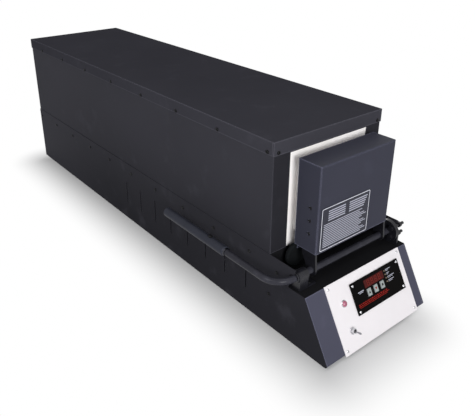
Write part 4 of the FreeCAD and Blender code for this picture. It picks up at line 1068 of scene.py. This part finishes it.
@dataclass
class Console:
    """Marks, digits, symbols and lights on the sloped console.

    Sizes are in millimetres: x runs to the right from the console's middle, s down its slope from the
    top edge, and out stands off its sheet. plate and face are the fronts of the pale plate and of the
    controller on it. A line of rules or of the band is its left end, its s, its length and its height.
    """

    workshop: Workshop
    top: Point = (-84.5, 112.0)
    rise: float = 108.0
    run: float = 61.5
    plate: float = 1.0
    face: float = 3.0
    light_x: float = 57.3
    light_first: float = 26.0
    light_pitch: float = 6.6
    light_dome: tuple[Point, ...] = ((0.0, 0.01), (1.3, 0.01), (1.15, 0.5), (0.7, 0.9), (0.0, 1.0))
    light_sides: int = 14
    rule_x: float = 61.0
    rule_lengths: tuple[Point, ...] = ((14.0, 7.0), (8.0, 5.0), (19.0, 15.0), (16.0, 11.0))
    rule_places: Point = (-1.4, 1.0)
    rule_heights: Point = (1.1, 0.8)
    left_rules: tuple[tuple[float, ...], ...] = ((-21.0, 37.0, 15.0, 1.4), (-19.0, 39.6, 11.0, 1.0))
    dashed_lines: tuple[tuple[float, ...], ...] = ((-28.0, 57.0, 80.0, 1.7), (-28.0, 60.0, 83.0, 1.7))
    whole_line: tuple[float, ...] = (-27.0, 63.0, 76.0, 0.8)
    dashes: tuple[float, ...] = (4.2, 2.6, 5.4, 3.4, 1.8)
    dash_gap: float = 1.5
    dash_corner: float = 0.35
    corner_steps: int = 4
    window_rise: float = 0.6
    digits_shown: int = 4
    digit_first: float = 6.5
    digit_pitch: float = 10.2
    digit_top: float = 24.6
    digit_size: Point = (6.4, 10.4)
    segment: float = 1.25
    dot: float = 1.3
    dot_gap: float = 1.0
    dot_corner: float = 0.6
    key_first: float = 5.8
    key_pitch: float = 18.1
    key_middle: float = 45.7
    key_rise: float = 1.6
    arrow: Triple = (2.6, 2.2, 2.4)
    square: float = 2.1
    controller_screws: tuple[Point, Point] = ((-29.2, 94.2), (22.0, 69.2))
    plate_screws: tuple[Point, Point] = ((-82.7, 106.5), (7.0, 116.4))
    screw_spin: float = 0.9
    toggle: Triple = (-58.8, 90.0, 4.0)
    toggle_lean: float = 15.0
    bat_sides: int = 20

    def matrix(self) -> Matrix:
        """Console's own axes: X across, Y up the slope, Z outward, from the middle of its top edge."""
        angle = math.atan2(self.rise, self.run)
        origin = self.workshop.at(0.0, *self.top)
        return Matrix.Translation(origin) @ Matrix.Rotation(angle, 4, "X")

    def spot(self, x: float, s: float, out: float) -> Matrix:
        """Console's own axes, moved to a spot."""
        return self.matrix() @ Matrix.Translation((x / 1000, -s / 1000, out / 1000))

    def bar(
        self, mesh: Mesh, x: float, s: float, length: float, height: float, out: float, corner: float = 0.0
    ) -> None:
        """Prints a bar.

        Args:
            mesh: where the faces go.
            x: its left end.
            s: distance of its upper edge down the slope.
            length: along X.
            height: down the slope.
            out: height of the surface that it lies on.
            corner: radius of its corners, 0 for square ones.
        """
        edges = (x, x + length, -s - height, -s)
        shape = rounded(*edges, corner, self.corner_steps) if corner else rectangle(*edges)
        printed(mesh, shape, out, self.matrix())

    def rules(self) -> None:
        """Plain rules beside the lights and at the controller's left."""
        mesh = bmesh.new()
        for row, lengths in enumerate(self.rule_lengths):
            s = self.light_first + row * self.light_pitch
            for place, length, height in zip(self.rule_places, lengths, self.rule_heights):
                self.bar(mesh, self.rule_x, s + place, length, height, self.face)
        for line in self.left_rules:
            self.bar(mesh, *line, self.face)
        self.workshop.add("controller_rules", mesh, "kiln", Mark.grey)

    def band(self) -> None:
        """Plain band low on the controller: two lines of short dashes and a whole one."""
        mesh = bmesh.new()
        for row, (start, s, length, height) in enumerate(self.dashed_lines):
            x, end, step = start, start + length, row * 2
            while x < end:
                dash = self.dashes[step % len(self.dashes)]
                self.bar(mesh, x, s, min(dash, end - x), height, self.face, self.dash_corner)
                x, step = x + dash + self.dash_gap, step + 1
        self.bar(mesh, *self.whole_line, self.face, self.dash_corner)
        self.workshop.add("controller_band", mesh, "kiln", Mark.red)

    def lights(self) -> None:
        """Small round indicator lights in a column, at the right of the window."""
        mesh = bmesh.new()
        for row in range(len(self.rule_lengths)):
            at = self.spot(self.light_x, self.light_first + row * self.light_pitch, self.face)
            lathe(mesh, in_metres(self.light_dome), at, self.light_sides)
        self.workshop.add("controller_lights", mesh, "kiln", Mark.amber, smooth=True)

    def digits(self) -> None:
        """Seven-segment digits, dim behind the window's face, each with its dot."""
        mesh = bmesh.new()
        wide, tall = self.digit_size
        thick = self.segment
        out, s = self.face + self.window_rise, self.digit_top
        end, mitre = thick * 0.7, thick * 0.65
        for place in range(self.digits_shown):
            x = self.digit_first + place * self.digit_pitch
            bars = [
                (x + end, s + drop, wide - 2 * end, thick)
                for drop in (0.0, (tall - thick) / 2, tall - thick)
            ]
            bars += [
                (x + side, s + drop + mitre, thick, tall / 2 - 2 * mitre)
                for side in (0.0, wide - thick)
                for drop in (0.0, tall / 2)
            ]
            for bar in bars:
                self.bar(mesh, *bar, out)
            dot_place = (x + wide + self.dot_gap, s + tall - self.dot)
            self.bar(mesh, *dot_place, self.dot, self.dot, out, self.dot_corner)
        self.workshop.add("display_digits", mesh, "kiln", Mark.dim_red)

    def symbols(self) -> None:
        """Arrow up, arrow down and square on the three keys."""
        half, base, tip = self.arrow
        signs = (
            ("up_key", Mark.black, [(-half, -base), (half, -base), (0.0, tip)]),
            ("down_key", Mark.red, [(-half, base), (0.0, -tip), (half, base)]),
            ("start_key", Mark.black, rectangle(-self.square, self.square, -self.square, self.square)),
        )
        for index, (body, ink, shape) in enumerate(signs):
            mesh = bmesh.new()
            at = self.spot(self.key_first + index * self.key_pitch, self.key_middle, 0.0)
            printed(mesh, shape, self.face + self.key_rise, at)
            self.workshop.add(f"key_symbol_{index + 1}", mesh, body, ink)

    def screws(self) -> None:
        """Small cross-head screws of the two plates, in place of the plain CAD ones."""
        heads = PanHeads(self.workshop)
        mesh = bmesh.new()
        spots = [
            (x, s, out)
            for (across, down), out in ((self.controller_screws, self.face), (self.plate_screws, self.plate))
            for x in across
            for s in down
        ]
        for index, spot in enumerate(spots):
            at = self.spot(*spot) @ Matrix.Rotation(index * self.screw_spin, 4, "Z")
            heads.head(mesh, radius=0.0025, height=0.0014, shank=0.0014, length=0.002, at=at)
        self.workshop.add("console_screw_heads", mesh, "kiln", Slot.chrome, ("console_screws",), smooth=True)

    def lever(self) -> None:
        """Bat lever of the toggle switch, leaning down the slope: ball, neck, bat and rounded tip."""
        mesh = bmesh.new()
        at = self.spot(*self.toggle) @ Matrix.Rotation(math.radians(self.toggle_lean), 4, "X")
        ball = 2.6
        bat = [(0.0, -ball)]
        bat += [(ball * math.sin(turn), -ball * math.cos(turn)) for turn in (0.5, 1.0, 1.57, 2.1, 2.5)]
        bat += [(1.15, 3.6), (1.25, 7.0), (1.5, 10.5), (1.8, 13.5), (1.88, 14.8)]
        bat += [(1.7, 15.9), (1.1, 16.7), (0.0, 17.0)]
        lathe(mesh, in_metres(bat), at, self.bat_sides)
        self.workshop.add("toggle_bat", mesh, "toggle", Slot.chrome, ("toggle_lever",), True, Mark.bat_metal)

    def build(self) -> None:
        """Makes every piece of the console."""
        self.rules()
        self.band()
        self.lights()
        self.digits()
        self.symbols()
        self.screws()
        self.lever()


@dataclass
class DoorPlate:
    """Rounded border and plain rules on the plate at the door's lower left, in millimetres.

    Rules lie in a lower block of single ones, whose right ends differ by turns, and in an upper block
    of pairs. Each block's numbers are its rows, the first row's place, the pitch and a rule's height.
    gap is where a pair parts, as shares of the plate's width, and each pair ends pair_step sooner.
    """

    workshop: Workshop
    margin: float = 1.6
    line: float = 1.1
    corner: float = 3.0
    inner_corner: float = 2.4
    corner_steps: int = 5
    inset: float = 6.0
    film: float = 0.00004
    single: tuple[int, float, float, float] = (13, 6.0, 3.5, 1.5)
    short_by: tuple[float, ...] = (11.0, 0.0, 5.0, 17.0)
    pairs: tuple[int, float, float, float] = (5, 9.0, 4.2, 2.0)
    pair_start: float = 10.0
    gap: Point = (0.48, 0.56)
    pair_step: float = 2.0

    def build(self) -> None:
        """Prints the border and the rules."""
        low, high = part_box("door_plate")
        wide, tall = (high.x - low.x) * 1000, (high.z - low.z) * 1000
        at = matrix_along(low, Vector((0, -1, 0)), Vector((1, 0, 0)))
        mesh = bmesh.new()
        outlines = [
            in_metres(rounded(inset, wide - inset, inset, tall - inset, radius, self.corner_steps))
            for inset, radius in ((self.margin, self.corner), (self.margin + self.line, self.inner_corner))
        ]
        border(mesh, *outlines, INK_GAP, INK_GAP + INK_FILM, at)
        self.workshop.add("door_plate_border", mesh, "door", Mark.white)
        rules = bmesh.new()
        left, right = self.margin + self.inset, wide - self.margin - self.inset
        rows, first, pitch, height = self.single
        for row in range(rows):
            y = self.margin + first + row * pitch
            end = right - self.short_by[row % len(self.short_by)]
            printed(rules, rectangle(left, end, y, y + height), 0.0, at, self.film)
        rows, first, pitch, height = self.pairs
        for row in range(rows):
            y = tall - self.margin - first - row * pitch
            first_rule = (left + self.pair_start, wide * self.gap[0])
            second_rule = (wide * self.gap[1], right - row * self.pair_step)
            for start, end in (first_rule, second_rule):
                printed(rules, rectangle(start, end, y, y + height), 0.0, at, self.film)
        self.workshop.add("door_plate_rules", rules, "door", Mark.grey)


@dataclass
class HeatingCoils:
    """Wound elements in the grooves of the side walls, in place of the plain CAD bars, in metres.

    rear alone is in millimetres: the chamber's far end, where each coil gives way to straight leads.
    """

    workshop: Workshop
    radius: float = 0.005
    wire: float = 0.0011
    wire_sides: int = 6
    pitch: float = 0.0042
    steps: int = 12
    bend: float = 0.0056
    bend_steps: int = 6
    rear: float = 917.0
    coil_end: float = 0.004
    lead_start: float = 0.006
    lead_bend: float = 0.03
    lead: float = 0.0015
    lead_sides: int = 10

    def centreline(self, x: float, rows: Point, near: float, far: float) -> list[Vector]:
        """U-shaped middle line of one coil, with a rounded bend at each corner.

        Args:
            x: its place across the kiln.
            rows: heights of its lower and its upper run.
            near: where it turns, at the chamber's front.
            far: where both runs end.

        Returns:
            Its points, from the lower end to the upper.
        """
        turns = [math.radians(90 * i / self.bend_steps) for i in range(self.bend_steps + 1)]
        middle = near + self.bend
        low, high = rows[0] + self.bend, rows[1] - self.bend
        points = [(far, rows[0])]
        points += [(middle - self.bend * math.sin(t), low - self.bend * math.cos(t)) for t in turns]
        points += [(middle - self.bend * math.cos(t), high + self.bend * math.sin(t)) for t in turns]
        points += [(far, rows[1])]
        return [Vector((x, y, z)) for y, z in points]

    def wound(self, line: Sequence[Vector], radius: float) -> list[Vector]:
        """Winds the wire about a middle line.

        Args:
            line: the middle line's points.
            radius: from the middle line to the middle of the wire.

        Returns:
            Points of the wire's own middle line.
        """
        lengths = [0.0]
        for a, b in zip(line, line[1:]):
            lengths.append(lengths[-1] + (b - a).length)
        total = lengths[-1]
        count = int(total / self.pitch) * self.steps
        side = Vector((1.0, 0.0, 0.0))
        wire, segment = [], 0
        for i in range(count + 1):
            where = total * i / count
            while segment < len(line) - 2 and lengths[segment + 1] < where:
                segment += 1
            run = line[segment + 1] - line[segment]
            middle = line[segment] + run * ((where - lengths[segment]) / run.length)
            up = run.normalized().cross(side)
            turn = 2 * math.pi * i / self.steps
            wire.append(middle + (side * math.cos(turn) + up * math.sin(turn)) * radius)
        return wire

    def build(self) -> None:
        """Winds both elements, with their straight leads."""
        low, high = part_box("heating_elements")
        rows = (low.z + self.radius, high.z - self.radius)
        far = self.workshop.at(0, self.rear, 0).y
        mesh = bmesh.new()
        for x in (low.x + self.radius, high.x - self.radius):
            line = self.centreline(x, rows, low.y + self.radius, far - self.coil_end)
            sweep(mesh, self.wound(line, self.radius - self.wire), self.wire, self.wire_sides)
            for z in rows:
                lead = [Vector((x, y, z)) for y in (far - self.lead_start, far + self.lead_bend, high.y)]
                sweep(mesh, lead, self.lead, self.lead_sides)
        replaced = ("heating_elements",)
        self.workshop.add("wound_elements", mesh, "kiln", Slot.element_wire, replaced, smooth=True)


@dataclass(frozen=True)
class SoftLamp:
    """Round area lamp: place, aim and width in metres, power in watts."""

    place: Triple
    aim: Triple
    size: float
    power: float


class Light(Enum):
    """The lamps of the studio."""

    overhead = SoftLamp((0.3, -0.3, 2.6), (0.0, 0.0, 0.2), 1.6, 5.0)
    front = SoftLamp((-0.95, -2.6, 0.9), (0.0, -0.4, 0.2), 1.2, 46.0)
    left = SoftLamp((-1.7, -0.45, 1.3), (0.0, -0.1, 0.2), 1.2, 12.0)
    behind = SoftLamp((1.9, 2.0, 1.2), (0.0, 0.0, 0.2), 1.4, 20.0)


@dataclass
class Studio:
    """White floor, soft light and the camera at the photograph's viewing angle.

    camera_at and the sensor's width are in millimetres, the angles in degrees, the floor's sizes and
    the camera's clip in metres, and focal, frame and principal in the photograph's pixels.
    """

    workshop: Workshop
    camera_at: Triple = (-716.1, -604.3, 696.1)
    azimuth: float = -38.54
    elevation: float = 23.65
    focal: float = 571.5
    frame_width: float = 475.0
    frame_height: float = 416.0
    principal: Point = (225.0, 160.0)
    sensor: float = 36.0
    clip: Point = (0.01, 100.0)
    ambient: float = 0.28
    paper: tuple[Colour, Colour] = ((0.58, 0.58, 0.585), (0.62, 0.62, 0.625))
    fibre: float = 900.0
    floor_size: float = 30.0
    foot_inset: Triple = (0.07, 0.04, 0.0)
    shadow_reach: Point = (-0.035, 0.125)

    @staticmethod
    def seen(graph: Graph) -> Socket:
        """Picks out the rays that show a surface.

        Args:
            graph: the graph that the mask is made in.

        Returns:
            1 for rays from the camera, from gloss and through glass, 0 for rays that carry light.
        """
        camera = graph.node("ShaderNodeLightPath", out="Is Camera Ray")
        outputs = camera.output.node.outputs
        gloss, glass = (Socket(graph, outputs[name]) for name in ("Is Glossy Ray", "Is Transmission Ray"))
        return (camera + gloss + glass) > 0.5

    def floor_material(self) -> bpy.types.Material:
        """Makes pale paper that keeps the kiln's shadow and turns to plain white away from it.

        Returns:
            The material.
        """
        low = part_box("base_side_left")[0]
        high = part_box("base_side_right")[1] - Vector(self.foot_inset)
        middle, half = (low + high) / 2, (high - low) / 2
        graph = MaterialGraph("floor_paper")
        fibre = graph.noise(self.fibre, 2.0)
        graph.finish(
            Base_Color=graph.blend(*self.paper, fibre),
            Roughness=0.9,
            Specular_IOR_Level=0.1,
            Normal=graph.relief(fibre, 0.0001, 0.2),
        )
        offset = graph.vector("SUBTRACT", graph.place(), (middle.x, middle.y, 0.0))
        outside = graph.vector("SUBTRACT", graph.vector("ABSOLUTE", offset), (half.x, half.y, 0.0))
        away = graph.vector("LENGTH", graph.vector("MAXIMUM", outside, (0.0, 0.0, 0.0)), out="Value")
        white = graph.node("ShaderNodeEmission", None, {"Color": (1.0, 1.0, 1.0), "Strength": 1.0})
        mask = self.seen(graph) * away.between(*self.shadow_reach)
        lit = Socket(graph, graph.shader.outputs[0])
        shown = graph.node("ShaderNodeMixShader", None, {0: mask, 1: lit, 2: white})
        graph.feed(graph.tree.nodes["Material Output"].inputs["Surface"], shown)
        return graph.material

    def floor(self) -> None:
        """Lays the floor."""
        mesh = bmesh.new()
        bmesh.ops.create_grid(mesh, x_segments=1, y_segments=1, size=self.floor_size)
        data = bpy.data.meshes.new("floor")
        mesh.to_mesh(data)
        mesh.free()
        floor = bpy.data.objects.new("floor", data)
        bpy.context.scene.collection.objects.link(floor)
        data.materials.append(self.floor_material())

    def world(self) -> None:
        """White all round, as the camera, gloss and glass see it; softer as a light."""
        world = bpy.data.worlds.new("studio")
        world.use_nodes = True
        bpy.context.scene.world = world
        graph = Graph(world.node_tree)
        shades = [
            graph.node("ShaderNodeBackground", None, {"Color": (1.0, 1.0, 1.0), "Strength": strength})
            for strength in (self.ambient, 1.0)
        ]
        sky = graph.node("ShaderNodeMixShader", None, {0: self.seen(graph), 1: shades[0], 2: shades[1]})
        graph.feed(graph.tree.nodes["World Output"].inputs["Surface"], sky)

    def lamps(self) -> None:
        """Hangs the lamps."""
        for light in Light:
            data = bpy.data.lights.new(light.name, "AREA")
            data.shape = "DISK"
            data.size = light.value.size
            data.energy = light.value.power
            lamp = bpy.data.objects.new(light.name, data)
            lamp.location = light.value.place
            beam = Vector(light.value.aim) - lamp.location
            lamp.rotation_euler = beam.to_track_quat("-Z", "Y").to_euler()
            bpy.context.scene.collection.objects.link(lamp)

    def camera(self) -> None:
        """Camera solved from the photograph's straight edges."""
        data = bpy.data.cameras.new("camera")
        data.sensor_fit = "HORIZONTAL"
        data.sensor_width = self.sensor
        data.lens = self.focal / self.frame_width * self.sensor
        data.shift_x = (self.frame_width / 2 - self.principal[0]) / self.frame_width
        data.shift_y = -(self.frame_height / 2 - self.principal[1]) / self.frame_width
        data.clip_start, data.clip_end = self.clip
        camera = bpy.data.objects.new("camera", data)
        camera.location = self.workshop.at(*self.camera_at)
        camera.rotation_euler = (math.radians(90 - self.elevation), 0.0, math.radians(self.azimuth))
        bpy.context.scene.collection.objects.link(camera)
        bpy.context.scene.camera = camera

    def build(self) -> None:
        """Sets up floor, world, lamps and camera."""
        self.floor()
        self.world()
        self.lamps()
        self.camera()
        bpy.context.scene.view_settings.view_transform = "Standard"


def main() -> None:
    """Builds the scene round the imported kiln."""
    logging.basicConfig(level=logging.INFO, format="%(name)s %(message)s")
    for leftover in list(bpy.data.objects):
        bpy.data.objects.remove(leftover)
    workshop = Workshop(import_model())
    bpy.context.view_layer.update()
    Casing(workshop).dress()
    heads = PanHeads(workshop)
    for kind, body in (("lid", "kiln"), ("base", "kiln"), ("arm", "door"), ("bracket", "kiln")):
        heads.replace(f"{kind}_screws", body, f"{kind}_screw_heads")
    Console(workshop).build()
    DoorPlate(workshop).build()
    HeatingCoils(workshop).build()
    Studio(workshop).build()


if __name__ == "__main__":
    main()
